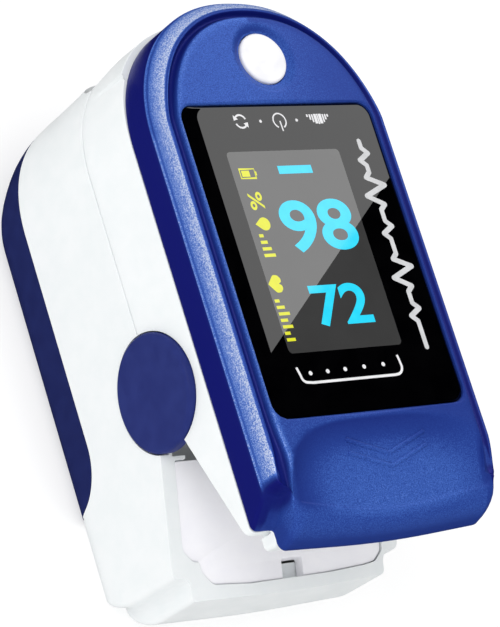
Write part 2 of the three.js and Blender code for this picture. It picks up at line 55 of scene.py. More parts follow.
# ------------------------------------------------------------------ outline helpers
def fillet_open(poly, radii, narc, nseg):
    """An open path with rounded corners, with the same number of points whatever its dimensions."""
    P = [np.array(p, float) for p in poly]
    pts = [P[0]]
    last = P[0]
    for i in range(1, len(P) - 1):
        a, b = P[i - 1] - P[i], P[i + 1] - P[i]
        la, lb = np.linalg.norm(a), np.linalg.norm(b)
        a, b = a / la, b / lb
        ang = math.acos(max(-1, min(1, float(a @ b))))
        tl = min(radii[i] / math.tan(ang / 2), 0.48 * min(la, lb)) if ang < PI - 1e-5 else 0.01
        r = tl * math.tan(ang / 2)
        t1, t2 = P[i] + a * tl, P[i] + b * tl
        for k in range(1, nseg[i - 1] + 1):
            pts.append(last + (t1 - last) * k / (nseg[i - 1] + 1))
        m = (a + b) / max(np.linalg.norm(a + b), 1e-9)
        c = P[i] + m * (r / math.sin(ang / 2))
        u, v = t1 - c, t2 - c
        sweep = PI - ang
        side = 1 if u[0] * v[1] - u[1] * v[0] > 0 else -1
        for k in range(narc[i]):
            s = side * sweep * k / (narc[i] - 1)
            pts.append(c + np.array([u[0] * math.cos(s) - u[1] * math.sin(s), u[0] * math.sin(s) + u[1] * math.cos(s)]))
        last = t2
    for k in range(1, nseg[-1] + 1):
        pts.append(last + (P[-1] - last) * k / (nseg[-1] + 1))
    pts.append(P[-1])
    return pts


NA = 128  # steps round the arch


def swell(t, n=2.2):
    """The tip is a slightly squared arc: how far it stands outside a circle at the angle t."""
    return (abs(math.cos(t)) ** n + abs(math.sin(t)) ** n) ** (-1 / n)


def draw_in(t):
    """How the rim draws in from the sides to the tip, 0 to 1."""
    q = math.sqrt(max(0.0, math.sin(t)) ** 2 + 0.004) - 0.0632
    return 1 - (1 - min(1.0, q / 0.94)) ** 2.2


SIDE_N, A_N, AB_N, B_N, BC_N, C_N, CM_N, M_N = 56, 7, 2, 7, 6, 10, 34, 9


def plan_ring(hw, A, B, C, M, C2, B2, A2, rA=0.8, rB=0.5, rC=0.8, rM=150, rC2=None, rB2=None, rA2=None, arch=None):
    """Outline from the right end of the arch, over the tip, down the left side, along the push end and up the right side.
    A is the outer corner of the notch, B its inner corner, C the tongue's corner, M the middle of the push end."""
    arch = arch or (lambda t: hw)
    out = [np.array([arch(t) * math.cos(t), ARCH_Y + arch(t) * math.sin(t)]) * 1.0 for t in np.linspace(0, PI, NA + 1)]
    out = [np.array([q[0] * swell(t), ARCH_Y + (q[1] - ARCH_Y) * swell(t)]) for q, t in zip(out, np.linspace(0, PI, NA + 1))]
    rC2 = rC if rC2 is None else rC2
    rB2 = rB if rB2 is None else rB2
    rA2 = rA if rA2 is None else rA2
    rest = fillet_open(
        [(-hw, ARCH_Y), A, B, C, M, C2, B2, A2, (hw, ARCH_Y)],
        [0, rA, rB, rC, rM, rC2, rB2, rA2, 0],
        [0, A_N, B_N, C_N, M_N, C_N, B_N, A_N, 0],
        [SIDE_N, AB_N, BC_N, CM_N, CM_N, BC_N, AB_N, SIDE_N])
    return np.array(out + rest[1:-1])


def tongue_weight():
    """0 on the arch and the sides, 1 on the tongue and the push end, along the points of plan_ring."""
    w = [0.0] * (NA + 1 + SIDE_N)
    n = A_N + AB_N + B_N
    ramp = [min(1.0, max(0.0, (k - 4.5) / (n - 1 - 4.5))) for k in range(n)]
    ramp = [s * s * (3 - 2 * s) for s in ramp]
    mid = BC_N + C_N + CM_N + M_N + CM_N + C_N + BC_N
    return np.array(w + ramp + [1.0] * mid + ramp[::-1] + [0.0] * SIDE_N)


W = tongue_weight()


def at(ring, z):
    z = np.full(len(ring), float(z)) if np.isscalar(z) else np.asarray(z, float)
    return np.column_stack([ring, z])


def smooth(a, b, x):
    t = np.clip((x - a) / (b - a), 0, 1)
    return t * t * (3 - 2 * t)


# ------------------------------------------------------------------ mesh helpers
def raw_mesh(name, verts, faces):
    me = bpy.data.meshes.new(name)
    me.from_pydata([tuple(map(float, v)) for v in verts], [], [tuple(map(int, f)) for f in faces])
    me.update()
    ob = bpy.data.objects.new(name, me)
    bpy.context.scene.collection.objects.link(ob)
    return ob


def stack(name, rings, cap0=True, cap1=True, closed=True):
    n = len(rings[0])
    verts = np.vstack(rings)
    faces = []
    for k in range(len(rings) - 1):
        a, b = k * n, (k + 1) * n
        for i in range(n if closed else n - 1):
            j = (i + 1) % n
            faces.append((a + i, a + j, b + j, b + i))
    if cap0:
        faces.append(tuple(range(n - 1, -1, -1)))
    if cap1:
        faces.append(tuple(range((len(rings) - 1) * n, len(rings) * n)))
    return raw_mesh(name, verts, faces)


def prism(name, pts, lo, hi, axis="z"):
    """A straight prism of a counter-clockwise outline. For axis x the outline is (y, z), for axis y it is (x, z)."""
    pts = np.array(pts, float)
    if axis == "z":
        return stack(name, [at(pts, lo), at(pts, hi)])
    if axis == "x":
        return stack(name, [np.column_stack([np.full(len(pts), lo), pts]), np.column_stack([np.full(len(pts), hi), pts])])
    r0 = np.column_stack([pts[:, 0], np.full(len(pts), hi), pts[:, 1]])
    r1 = np.column_stack([pts[:, 0], np.full(len(pts), lo), pts[:, 1]])
    return stack(name, [r0, r1])


def boxm(x0, x1, y0, y1, z0, z1):
    return prism("tool", [(x0, y0), (x1, y0), (x1, y1), (x0, y1)], z0, z1)


def ell(a, b, n=96, cx=0.0, cy=0.0):
    return [(cx + a * math.cos(2 * PI * k / n), cy + b * math.sin(2 * PI * k / n)) for k in range(n)]


def rodx(y, z, r, x0, x1, n=96):
    return prism("tool", ell(r, r, n, y, z), x0, x1, "x")


def rodz(x, y, r, z0, z1, n=72):
    return prism("tool", ell(r, r, n, x, y), z0, z1, "z")


def ellipse_y(a, b, y0, y1, n=128, cz=19.6):
    return prism("tool", ell(a, b, n, 0, cz), y0, y1, "y")


def boolean(ob, tools, op="DIFFERENCE"):
    for t in tools:
        m = ob.modifiers.new("b", "BOOLEAN")
        m.operation, m.object, m.solver = op, t, "MANIFOLD"
    dg = bpy.context.evaluated_depsgraph_get()
    me = bpy.data.meshes.new_from_object(ob.evaluated_get(dg))
    ob.modifiers.clear()
    ob.data = me
    for t in tools:
        bpy.data.objects.remove(t, do_unlink=True)
    return ob


def join(ob, others):
    verts = [v.co[:] for v in ob.data.vertices]
    faces = [tuple(p.vertices) for p in ob.data.polygons]
    for o in others:
        k = len(verts)
        verts += [v.co[:] for v in o.data.vertices]
        faces += [tuple(i + k for i in p.vertices) for p in o.data.polygons]
        bpy.data.objects.remove(o, do_unlink=True)
    me = bpy.data.meshes.new(ob.name)
    me.from_pydata(verts, [], faces)
    me.update()
    ob.data = me
    return ob


def done(ob, name, body, material, replaces=(), angle=32, bevel=0.0):
    """Names the piece, scales it to metres, gives it its material and sets it on its CAD body; a piece given two bodies
    only has its transform baked in place.
    """
    ob.name = name
    ob.data.name = name
    if bevel:
        m = ob.modifiers.new("edge", "BEVEL")
        m.width, m.segments, m.limit_method, m.angle_limit = bevel, 2, "ANGLE", math.radians(38)
        m.use_clamp_overlap = True
        dg = bpy.context.evaluated_depsgraph_get()
        me = bpy.data.meshes.new_from_object(ob.evaluated_get(dg))
        ob.modifiers.clear()
        ob.data = me
    me = ob.data
    co = np.zeros(len(me.vertices) * 3)
    me.vertices.foreach_get("co", co)
    me.vertices.foreach_set("co", co * 0.001)
    me.materials.clear()
    for m in material if isinstance(material, (list, tuple)) else [material]:
        me.materials.append(m)
    me.update()
    me.shade_smooth()
    me.set_sharp_from_angle(angle=math.radians(angle))
    if isinstance(body, tuple):
        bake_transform(ob)
    else:
        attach(ob, body)
    if replaces:
        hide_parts(*replaces)
    return ob


# ------------------------------------------------------------------ materials
def lin(rgb):
    return tuple(((c / 255) / 12.92 if c / 255 <= 0.04045 else (((c / 255) + 0.055) / 1.055) ** 2.4) for c in rgb) + (1.0,)


def node_mat(name, c1, c2, scale=700.0, rough=(0.35, 0.45), spec=0.4, metallic=0.0, coat=0.0, coat_rough=0.1,
             bump=0.0, bump_scale=4000.0, bump_dist=0.00003, detail=4.0, emission=None, strength=0.0, contrast=(0.35, 0.65)):
    m = bpy.data.materials.new(name)
    m.use_nodes = True
    nt = m.node_tree
    nt.nodes.clear()
    out = nt.nodes.new("ShaderNodeOutputMaterial")
    bsdf = nt.nodes.new("ShaderNodeBsdfPrincipled")
    nt.links.new(bsdf.outputs[0], out.inputs[0])
    tc = nt.nodes.new("ShaderNodeTexCoord")
    noise = nt.nodes.new("ShaderNodeTexNoise")
    noise.inputs["Scale"].default_value = scale
    noise.inputs["Detail"].default_value = detail
    nt.links.new(tc.outputs["Object"], noise.inputs["Vector"])
    ramp = nt.nodes.new("ShaderNodeValToRGB")
    ramp.color_ramp.elements[0].position, ramp.color_ramp.elements[1].position = contrast
    ramp.color_ramp.elements[0].color, ramp.color_ramp.elements[1].color = lin(c1), lin(c2)
    nt.links.new(noise.outputs["Fac"], ramp.inputs["Fac"])
    rr = nt.nodes.new("ShaderNodeMapRange")
    rr.inputs["From Min"].default_value, rr.inputs["From Max"].default_value = 0.3, 0.7
    rr.inputs["To Min"].default_value, rr.inputs["To Max"].default_value = rough
    nt.links.new(noise.outputs["Fac"], rr.inputs["Value"])
    nt.links.new(rr.outputs["Result"], bsdf.inputs["Roughness"])
    bsdf.inputs["Specular IOR Level"].default_value = spec
    bsdf.inputs["Metallic"].default_value = metallic
    bsdf.inputs["Coat Weight"].default_value = coat
    bsdf.inputs["Coat Roughness"].default_value = coat_rough
    if emission:
        e2 = nt.nodes.new("ShaderNodeValToRGB")
        e2.color_ramp.elements[0].position, e2.color_ramp.elements[1].position = 0.2, 0.8
        e2.color_ramp.elements[0].color, e2.color_ramp.elements[1].color = lin(emission[0]), lin(emission[1])
        nt.links.new(noise.outputs["Fac"], e2.inputs["Fac"])
        nt.links.new(e2.outputs["Color"], bsdf.inputs["Emission Color"])
        bsdf.inputs["Emission Strength"].default_value = strength
    nt.links.new(ramp.outputs["Color"], bsdf.inputs["Base Color"])
    if bump:
        nb = nt.nodes.new("ShaderNodeTexNoise")
        nb.inputs["Scale"].default_value = bump_scale
        nb.inputs["Detail"].default_value = 2.0
        nt.links.new(tc.outputs["Object"], nb.inputs["Vector"])
        bn = nt.nodes.new("ShaderNodeBump")
        bn.inputs["Strength"].default_value = bump
        bn.inputs["Distance"].default_value = bump_dist
        nt.links.new(nb.outputs["Fac"], bn.inputs["Height"])
        nt.links.new(bn.outputs["Normal"], bsdf.inputs["Normal"])
    return m, nt, bsdf, ramp, tc


def simple(*a, **k):
    return node_mat(*a, **k)[0]


WHITE = simple("white_plastic", (236, 240, 241), (239, 242, 243), 500, (0.42, 0.5), 0.3, bump=0.06, bump_scale=2500)
# painted shade: near black, put on the casing's own faces inside the cavity under the tray
CAVITY_SHADE = simple("inner_dark_plastic", (13, 13, 16), (18, 18, 22), 700, (0.6, 0.75), 0.2, bump=0.1, bump_scale=3000)
# brighter than the casing's white: white plastic with painted light that lifts the tray out of the cover's shade
TRAY = simple("tray_plastic", (248, 247, 252), (251, 250, 254), 500, (0.5, 0.6), 0.3, bump=0.06, bump_scale=2500)
NAVY = simple("navy_plastic", (34, 45, 112), (38, 50, 118), 600, (0.5, 0.6), 0.15, bump=0.12, bump_scale=3500)
NAVY_DOOR = simple("navy_door_plastic", (24, 33, 88), (27, 37, 94), 600, (0.55, 0.65), 0.10, bump=0.12, bump_scale=3500)
BUTTON = simple("button_white", (240, 240, 244), (250, 250, 252), 500, (0.3, 0.38), 0.4, bump=0.04, bump_scale=2500)
RUBBER = simple("finger_rubber", (34, 35, 38), (42, 43, 47), 900, (0.65, 0.8), 0.25, bump=0.25, bump_scale=5000)
GLASS = simple("window_black", (1, 1, 2), (3, 3, 4), 300, (0.0, 0.004), 0.5)
STEEL = simple("steel", (150, 153, 158), (185, 188, 193), 1500, (0.25, 0.4), 0.5, metallic=1.0)
CONTACT = simple("contact_metal", (170, 168, 155), (200, 198, 186), 1500, (0.25, 0.38), 0.5, metallic=1.0)
BOARD = simple("circuit_board", (16, 70, 38), (24, 92, 50), 800, (0.35, 0.5), 0.4)
CHIP = simple("chip_black", (18, 18, 20), (28, 28, 30), 1500, (0.4, 0.55), 0.4)
RED = simple("optic_red", (96, 26, 32), (130, 38, 44), 400, (0.08, 0.16), 0.5)
LED = simple("led_package", (205, 205, 195), (222, 222, 214), 900, (0.3, 0.4), 0.4)
RIBBON = simple("ribbon", (160, 92, 28), (192, 118, 44), 700, (0.3, 0.45), 0.4)
OLED = simple("display", (40, 40, 42), (52, 52, 54), 900, (0.15, 0.25), 0.4)
JACKET = simple("cell_jacket", (36, 92, 66), (48, 112, 82), 300, (0.25, 0.35), 0.5, coat=0.4)
CYAN = simple("lit_cyan", (10, 50, 60), (12, 56, 66), 900, (0.04, 0.06), 0.5, emission=((38, 214, 250), (52, 226, 255)), strength=0.97)
YELLOW = simple("lit_yellow", (50, 50, 10), (56, 56, 12), 900, (0.04, 0.06), 0.5, emission=((228, 230, 30), (242, 244, 52)), strength=0.9)
SCREEN = simple("screen_grey", (58, 58, 58), (63, 63, 63), 120, (0.0, 0.004), 0.9)
PRINT = simple("print_white", (226, 226, 228), (236, 236, 238), 900, (0.25, 0.35), 0.4)
PRINT_GREY = simple("print_grey", (200, 201, 203), (212, 213, 215), 900, (0.25, 0.35), 0.4)


def paint():
    """Pearl blue paint with painted light: a vertex attribute sets painted shade (deep navy) on the walls and painted
    highlight, lighter and glittering with painted glints, on the rim.
    """
    m, nt, bsdf, ramp, tc = node_mat("blue_pearl_and_painted_light", (0, 0, 0), (255, 255, 255), 8200, (0.30, 0.46), 0.22, metallic=0.25,
                                     bump=0.30, bump_scale=5200, bump_dist=0.00002, contrast=(0.34, 0.66))
    at_ = nt.nodes.new("ShaderNodeAttribute")
    at_.attribute_name = "painted_light_tone"
    painted_light_tone = nt.nodes.new("ShaderNodeValToRGB")
    cr = painted_light_tone.color_ramp
    cr.elements[0].position, cr.elements[0].color = 0.0, lin((14, 21, 120))
    cr.elements[1].position, cr.elements[1].color = 1.0, lin((214, 224, 250))
    for pos, c in ((0.22, (22, 38, 126)), (0.5, (40, 70, 160)), (0.72, (70, 112, 206)), (0.88, (132, 162, 232))):
        e = cr.elements.new(pos)
        e.color = lin(c)
    grain_and_glints = nt.nodes.new("ShaderNodeMath")
    grain_and_glints.operation = "MULTIPLY_ADD"
    sep = nt.nodes.new("ShaderNodeSeparateColor")
    nt.links.new(ramp.outputs["Color"], sep.inputs[0])
    # speckled grain: the pearl's own flake, plus painted glints that grow where the painted light is higher
    amount = nt.nodes.new("ShaderNodeMapRange")
    amount.inputs["From Min"].default_value, amount.inputs["From Max"].default_value = 0.35, 0.88
    amount.inputs["To Min"].default_value, amount.inputs["To Max"].default_value = 0.07, 0.36
    nt.links.new(at_.outputs["Fac"], amount.inputs["Value"])
    centred = nt.nodes.new("ShaderNodeMath")
    centred.operation = "SUBTRACT"
    centred.inputs[1].default_value = 0.5
    nt.links.new(sep.outputs[0], centred.inputs[0])
    nt.links.new(centred.outputs[0], grain_and_glints.inputs[0])
    nt.links.new(amount.outputs["Result"], grain_and_glints.inputs[1])
    nt.links.new(at_.outputs["Fac"], grain_and_glints.inputs[2])
    nt.links.new(grain_and_glints.outputs[0], painted_light_tone.inputs["Fac"])
    nt.links.new(painted_light_tone.outputs["Color"], bsdf.inputs["Base Color"])
    return m


BLUE = paint()

# ------------------------------------------------------------------ blue cover
LIP_M = -1.0


def cover_level(hw, fa, f, extra=0.0, inset=0.0):
    """Cover outline: hw on the sides; fa moves the notch corner forward, f leans the push end in; extra narrows the arch."""
    i = inset
    L = lambda a, b, t: (a[0] + (b[0] - a[0]) * t, a[1] + (b[1] - a[1]) * t)
    A = (-hw, -26.4 + 2.9 * fa + i)
    A2 = (hw, -26.35 + 1.5 * fa + i)
    B = L((-12.6 + i, -26.75 + i), (-12.85 + i, -24.35), fa)
    B = (B[0], min(B[1], A[1] - 0.3))
    x2 = min(14.05, hw - 0.10)
    B2 = L((x2 - i, -27.0 + i), (x2 - i, -25.35 + i), fa)
    C = L((-12.6 + i, -29.12 + i), (-11.85 + i, -25.75 + i), f)
    C2 = L((x2 - 0.1 - i, -29.1 + i), (13.4 - i, -26.4 + i), f)
    C2 = (C2[0], min(C2[1], B2[1] - 0.25))
    M = L((0.8, -29.72 + i), (LIP_M, -27.75 + i), f)
    return plan_ring(hw, A, B, C, M, C2, B2, A2, rA=0.7, rB=0.5, rC=0.8 + 1.1 * f, rC2=1.9 - 0.4 * f, rM=150 - 90 * min(f, 1),
                     rA2=0.9, rB2=0.9, arch=lambda t: hw - 1.19 * extra * draw_in(t))


ARCH_T = np.concatenate([np.linspace(0, PI, NA + 1), np.zeros(len(W) - NA - 1)])
TIP_LIFT = np.concatenate([np.sin(np.linspace(0, PI, NA + 1)) ** 1.7, np.zeros(len(W) - NA - 1)])


def side_z(zs, ze):
    return zs + (ze - zs) * W


SCOOP_C = (0.2, -27.0)


BUTTON_X, BUTTON_Y = 0.45, 21.97


def scoop(x, y):
    """1 in the thumb scoop, 0 on the raised face, with the distance inside its edge."""
    dx = (x - SCOOP_C[0]) / np.where(x < SCOOP_C[0], 12.6, 13.9)
    dy = (y - SCOOP_C[1]) / 8.75
    n = np.where(x < SCOOP_C[0], 3.6, 2.8)
    r = np.where(dy > 0, (np.abs(dx) ** n + np.abs(dy) ** n) ** (1 / n), np.abs(dx))
    d = (1 - r) * 9.0
    u = np.clip((d + 0.25) / 2.7, 0, 1)
    return 1 - (1 - u) ** 2.1, d


def height(x, y):
    """Top face of the cover: raised face, thumb scoop, button dish."""
    s, _ = scoop(x, y)
    margin = 33.75 - 1.40 * smooth(-20.8, -26.6, y)
    floor = 33.02 - 0.105 * np.maximum(0, -19.0 - y)
    z = margin + (np.minimum(floor, margin) - margin) * s
    rb = np.hypot(x - BUTTON_X, y - BUTTON_Y)
    z = z - 0.30 * (1 - smooth(2.95, 4.05, rb)) - 0.10 * (1 - smooth(2.9, 3.2, rb))
    return z


def glass_point(p, grow):
    """The point of the window seat's outline that faces p, and its distance from p."""
    q = np.array([0.0, min(max(p[1], -12.0), 11.0)])
    d = p - q
    d = d / np.linalg.norm(d)
    X, Y0, Y1, R = 12.6 + grow, -17.4 - grow, 16.7 + grow, 1.7 + grow
    lo, hi = 0.0, 60.0
    for _ in range(40):
        m = (lo + hi) / 2
        x, y = q + d * m
        cx, cy = abs(x) - (X - R), max(y - (Y1 - R), (Y0 + R) - y)
        inside = (cx <= R and cy <= R) and not (cx > 0 and cy > 0 and cx * cx + cy * cy > R * R)
        lo, hi = (m, hi) if inside else (lo, m)
    return q + d * lo


# hw, notch, lean, arch, z at the sides, share of the height at the push end
LEVELS = [
    (14.40, 0.00, 0.03, 0.00, 27.08, 0.000),
    (14.47, 0.00, 0.01, 0.00, 27.14, 0.015),
    (14.50, 0.01, 0.00, 0.00, 27.30, 0.060),
    (14.50, 0.22, 0.04, 0.00, 28.20, 0.200),
    (14.50, 0.45, 0.09, 0.00, 29.10, 0.370),
    (14.50, 0.66, 0.16, 0.00, 29.90, 0.520),
    (14.50, 0.80, 0.25, 0.00, 30.40, 0.650),
    (14.50, 0.84, 0.31, 0.01, 30.58, 0.710),
    (14.47, 0.86, 0.35, 0.03, 30.66, 0.750),
    (14.41, 0.88, 0.39, 0.05, 30.71, 0.780),
    (14.38, 0.90, 0.43, 0.07, 30.82, 0.810),
    (14.37, 0.93, 0.52, 0.13, 31.15, 0.870),
    (14.36, 0.95, 0.62, 0.25, 31.60, 0.910),
    (14.35, 0.965, 0.70, 0.38, 32.00, 0.940),
    (14.34, 0.98, 0.78, 0.53, 32.40, 0.960),
    (14.33, 0.985, 0.85, 0.67, 32.75, 0.973),
    (14.31, 0.99, 0.90, 0.80, 33.00, 0.983),
    (14.27, 0.995, 0.94, 0.91, 33.22, 0.990),
    (14.20, 1.00, 0.97, 0.98, 33.38, 0.995),
    (14.11, 1.00, 1.00, 1.02, 33.46, 0.998),
    (14.01, 1.00, 1.03, 1.04, 33.45, 1.000),
]


def build_cover():
    rings = []
    # hollow inside, from its ceiling down to the lower edge
    inner = [(12.7, 1.0, 0.75, 30.6, 30.4), (12.9, 0.6, 0.35, 29.4, 29.4), (13.1, 0.05, 0.05, 27.3, 28.3), (13.3, 0.0, 0.0, 27.08, 28.08)]
    for hw, fa, f, zs, ze in inner:
        rings.append(at(cover_level(hw, fa, f, 0.0, inset=1.35 if hw < 13.2 else 1.1), side_z(zs, ze)))
    face = plan_ring(12.90, (-12.90, -24.5), (-12.80, -25.0), (-12.45, -25.4), (LIP_M, -27.0), (12.95, -25.6), (12.95, -24.9), (12.90, -24.2),
                     rA=1.2, rB=1.0, rC=1.2, rM=60, arch=lambda t: 12.90 - 1.02 * draw_in(t))
    face[:, 0] += 0.46 * smooth(-8.0, -12.4, face[:, 0]) * smooth(-16.4, -23.0, face[:, 1])
    face_drop = 1.40 * smooth(-20.8, -26.6, face[:, 1])
    face_z = height(face[:, 0], face[:, 1])
    left = face[:, 0] < 0
    fade = np.where(left, smooth(-20.5, -24.3, face[:, 1]), smooth(-20.5, -25.6, face[:, 1]))
    for hw, fa, f, ex, zs, g in LEVELS:
        ring = cover_level(hw, fa, f, ex)
        top = np.where(left, 0.17, 0.38)
        zz = zs + TIP_LIFT * 1.15 * float(smooth(28.0, 30.8, zs)) * float(1 - smooth(30.7, 33.4, zs)) - fade * top * max(0.0, zs - 30.6)
        ze = 28.08 + (face_z - 28.08) * g
        rings.append(at(ring, zz + (ze - zz) * W))
    crest = rings[-1][:, :2]
    zc = rings[-1][:, 2]
    prof = [(0.05, 33.42), (0.11, 33.35), (0.18, 33.24), (0.26, 33.11), (0.34, 33.01), (0.43, 32.96), (0.55, 32.94), (0.65, 32.96), (0.73, 33.02), (0.80, 33.14), (0.86, 33.31), (0.91, 33.48), (0.955, 33.62), (1.0, 33.70)]
    for t, zs in prof:
        xy = crest + (face - crest) * t
        hz = height(xy[:, 0], xy[:, 1])
        ze = zc + (hz - zc) * t
        sink = fade * np.where(left, 0.17, 0.38) * (zs - 30.6) * (1 - float(smooth(0.6, 1.0, t)))
        side = zs - sink - face_drop * float(smooth(0.55, 1.0, t))
        rings.append(at(xy, side + (ze - side) * smooth(0.0, 0.75, W)))
    seat = np.array([glass_point(p, 0.09) for p in face])
    NR = 72
    for k in range(1, NR + 1):
        t = k / NR
        xy = face + (seat - face) * t
        z = height(xy[:, 0], xy[:, 1])
        edge = np.linalg.norm(seat - face, axis=1) * (1 - t)
        z = z - 0.04 * (1 - smooth(0.0, 0.25, np.linalg.norm(xy - face, axis=1))) * (1 - W)
        z = z - 0.11 * (1 - smooth(0.0, 0.28, edge)) ** 1.5
        rings.append(at(xy, z))
    seat2 = np.array([glass_point(p, 0.05) for p in face])
    rings.append(at(seat2, 33.5))
    rings.append(at(seat2, 32.2))
    ob = stack("top_cover_visual", rings)
    # room for the display, the window's hole and the button's hole
    room = plan_arch(12.5, -17.7, ARCH_Y - 0.2)
    boolean(ob, [prism("tool", room, 29.0, 31.85), boxm(-9.6, 9.6, -13.2, 14.6, 30, 32.6), rodz(BUTTON_X, BUTTON_Y, 2.98, 28, 36, 128)])
    bosses = []
    for x, y in SCREWS:
        top = 30.6 if y < 0 else 31.9
        b = boolean(rodz(x, y, 1.9, 27.1, top, 48), [rodz(x, y, 0.75, 20, 30.2, 32)])
        bosses.append(b)
    marks = []
    on_face = lambda x, y: float(height(np.array([x]), np.array([y]))[0]) - 0.02
    for dy, half in ((0.0, 5.2), (-1.35, 5.2)):
        marks.append(stroke([(0.9 - half, -19.9 + dy), (0.9, -21.75 + dy), (0.9 + half, -19.9 + dy)], 0.28, on_face, seg=30))
    join(ob, bosses + marks)
    paint_light_and_shade(ob)
    return done(ob, "blue_cover_shell", "upper_half", BLUE, ["top_cover"], angle=50)


def paint_light_and_shade(ob):
    """Painted light and shade on the blue paint, per vertex: painted shade (deep navy) on the walls, in the groove, at
    the scoop's upper edge and on one side of the button dish; painted highlight on the rim's shoulder and crest,
    lighter on the left side than on the right.
    """
    me = ob.data
    co = np.zeros(len(me.vertices) * 3)
    me.vertices.foreach_get("co", co)
    x, y, z = co.reshape(-1, 3).T
    arch = y > ARCH_Y
    th = np.arctan2(np.maximum(y - ARCH_Y, 0), x)
    r = np.where(arch, np.hypot(x, y - ARCH_Y) / np.array([swell(t) for t in th]), np.abs(x))
    q = r + np.where(arch, 1.17 * np.array([draw_in(t) for t in th]), 0.0)  # 12.98 at the raised face, 13.4 in the groove, 14.1 on the crest
    lift = np.where(arch, 1.15 * np.abs(np.sin(th)) ** 1.7, 0.0)
    zr = z - lift * (1 - smooth(30.7, 33.4, z))  # height in the rim's own scale
    left = x < 0
    rim = (q > 13.62) & (y > -26.9)
    # painted highlight on the rim's shoulder and crest, with a painted dark line at the ridge
    t = 0.68 + 0.18 * smooth(30.8, 32.2, zr) + 0.10 * smooth(32.2, 33.2, zr)
    t = t - 0.22 * np.exp(-((zr - 30.84) / 0.09) ** 2)
    t = np.where(zr < 30.64, 0.78 * smooth(30.44, 30.60, zr), t)
    t = np.where((z > 33.30) & (q < 14.22), 0.50, t)
    t = np.where((z > 32.9) & (q < 14.02), 0.12 + 0.62 * np.exp(-((q - 13.98) / 0.05) ** 2), t)
    # the right side carries less painted light than the left
    t = np.where(~left, t * (1 - 0.25 * smooth(9.0, -9.0, y)), t)
    end = np.where(left, np.interp(z, (27.3, 28.2, 29.1, 29.9, 30.4, 31.0, 33.4), (-26.37, -25.76, -25.1, -24.5, -24.1, -23.75, -23.5)),
                   np.interp(z, (27.3, 30.4, 33.4), (-26.3, -25.15, -24.85)))
    t = np.where(rim & ~arch, 0.10 * smooth(31.8, 30.6, z) * smooth(27.0, 28.5, z) + t * smooth(end + 0.1, end + 1.0, y), t)
    # painted light on the left margin and towards the top left of the face, painted shade on the right
    side = np.where(left, 0.74, 0.40)
    face = 0.53 + 0.08 * smooth(-15.0, 20.0, y) - 0.13 * smooth(-4.0, 12.0, x) * smooth(-24.0, -16.0, y)
    edge_q = np.where(left, 12.90 - 0.46 * smooth(-16.4, -23.0, y), 12.90)
    near = smooth(edge_q - 0.75, edge_q - 0.1, q)
    near = np.where(arch, near * 0.5, near)
    face = face + (side - face) * near
    # painted shade in the groove beside the raised face
    dip = smooth(edge_q - 0.02, edge_q + 0.34, q)
    groove = np.where(left | arch, 0.12, 0.12 + 0.24 * smooth(-8.0, -20.0, y))
    face = face * (1 - dip) + groove * dip
    # painted shade on one side of the button dish and painted highlight on the other
    bx, by = (x - BUTTON_X), (y - BUTTON_Y)
    rb = np.hypot(bx, by)
    turn = (-0.62 * bx + 0.78 * by) / np.maximum(rb, 1e-6)
    ring = smooth(4.2, 3.3, rb) * (z > 33.0)
    face = face + ring * (-0.17 * np.clip(turn, 0, 1) + 0.05 * np.clip(-turn, 0, 1))
    face = np.where((rb < 3.18) & (z > 33.0), 0.62, face)
    t = np.where(~rim, face, t)
    # painted shade inside the scoop's upper and left edge
    s, d = scoop(x, y)
    shade = np.where(d > 0, np.exp(-d / 2.3), smooth(-0.35, 0.0, d)) * smooth(11.0, -3.0, x) ** 0.6
    zone = ~rim & (y < -17.2) & (q < edge_q)
    t = np.where(zone, t * (1 - 0.36 * shade) + 0.12 * smooth(0.3, 4.0, d), t)
    # painted shade on the push end's wall below the lip, darker towards the bottom
    lipy = -27.6 + np.where(x < -1, 2.0 * ((x + 1) / 10.7) ** 2, 1.45 * ((x + 1) / 13.0) ** 2)
    wall = smooth(0.0, 1.3, lipy - y + 0.35)
    t = np.where((y < -24.0) & ((q < 13.62) | (y < -26.0)), t * (1 - wall) + wall * (0.55 - 0.14 * smooth(31.5, 28.2, z)), t)
    # painted shade: the side walls below the rim are set to deep navy
    t = np.where((z < 30.2) & ~((y < -24.3) & (np.abs(x) < 14.2)), 0.0, t)
    t = np.where((z < 30.2) & (y < -26.9), np.minimum(t, 0.44), t)
    t = np.where((x > 12.6) & (y < -19.0) & (z > 30.2), np.minimum(t, 0.48), t)
    a = me.attributes.get("painted_light_tone") or me.attributes.new("painted_light_tone", "FLOAT", "POINT")
    a.data.foreach_set("value", np.clip(t, 0, 1).astype(np.float32))


def plan_arch(hw, y_end, cy=ARCH_Y, n=64):
    return [(hw * math.cos(t), cy + hw * math.sin(t)) for t in np.linspace(0, PI, n)] + [(-hw, y_end), (hw, y_end)]


def stroke(path, r, zf, n=8, seg=14, flat=0.75):
    """A raised line with a rounded section along a path on the surface zf."""
    P = []
    for a, b in zip(path[:-1], path[1:]):
        for k in range(seg):
            P.append(np.array(a) + (np.array(b) - np.array(a)) * k / seg)
    P.append(np.array(path[-1], float))
    rings = []
    for i, p in enumerate(P):
        d = P[min(i + 1, len(P) - 1)] - P[max(i - 1, 0)]
        d = d / np.linalg.norm(d)
        nrm = np.array([-d[1], d[0]])
        end = 0.35 if i in (0, len(P) - 1) else 1.0
        ring = []
        for k in range(n):
            a = 2 * PI * k / n
            q = p + nrm * (math.cos(a) * r * end)
            ring.append((q[0], q[1], zf(p[0], p[1]) + math.sin(a) * r * flat * end))
        rings.append(np.array(ring))
    return stack("stroke", rings)


SCREWS = [(-9.6, 20.3), (9.6, 20.3), (-11.0, -22.0), (11.0, -22.0)]
cover = build_cover()

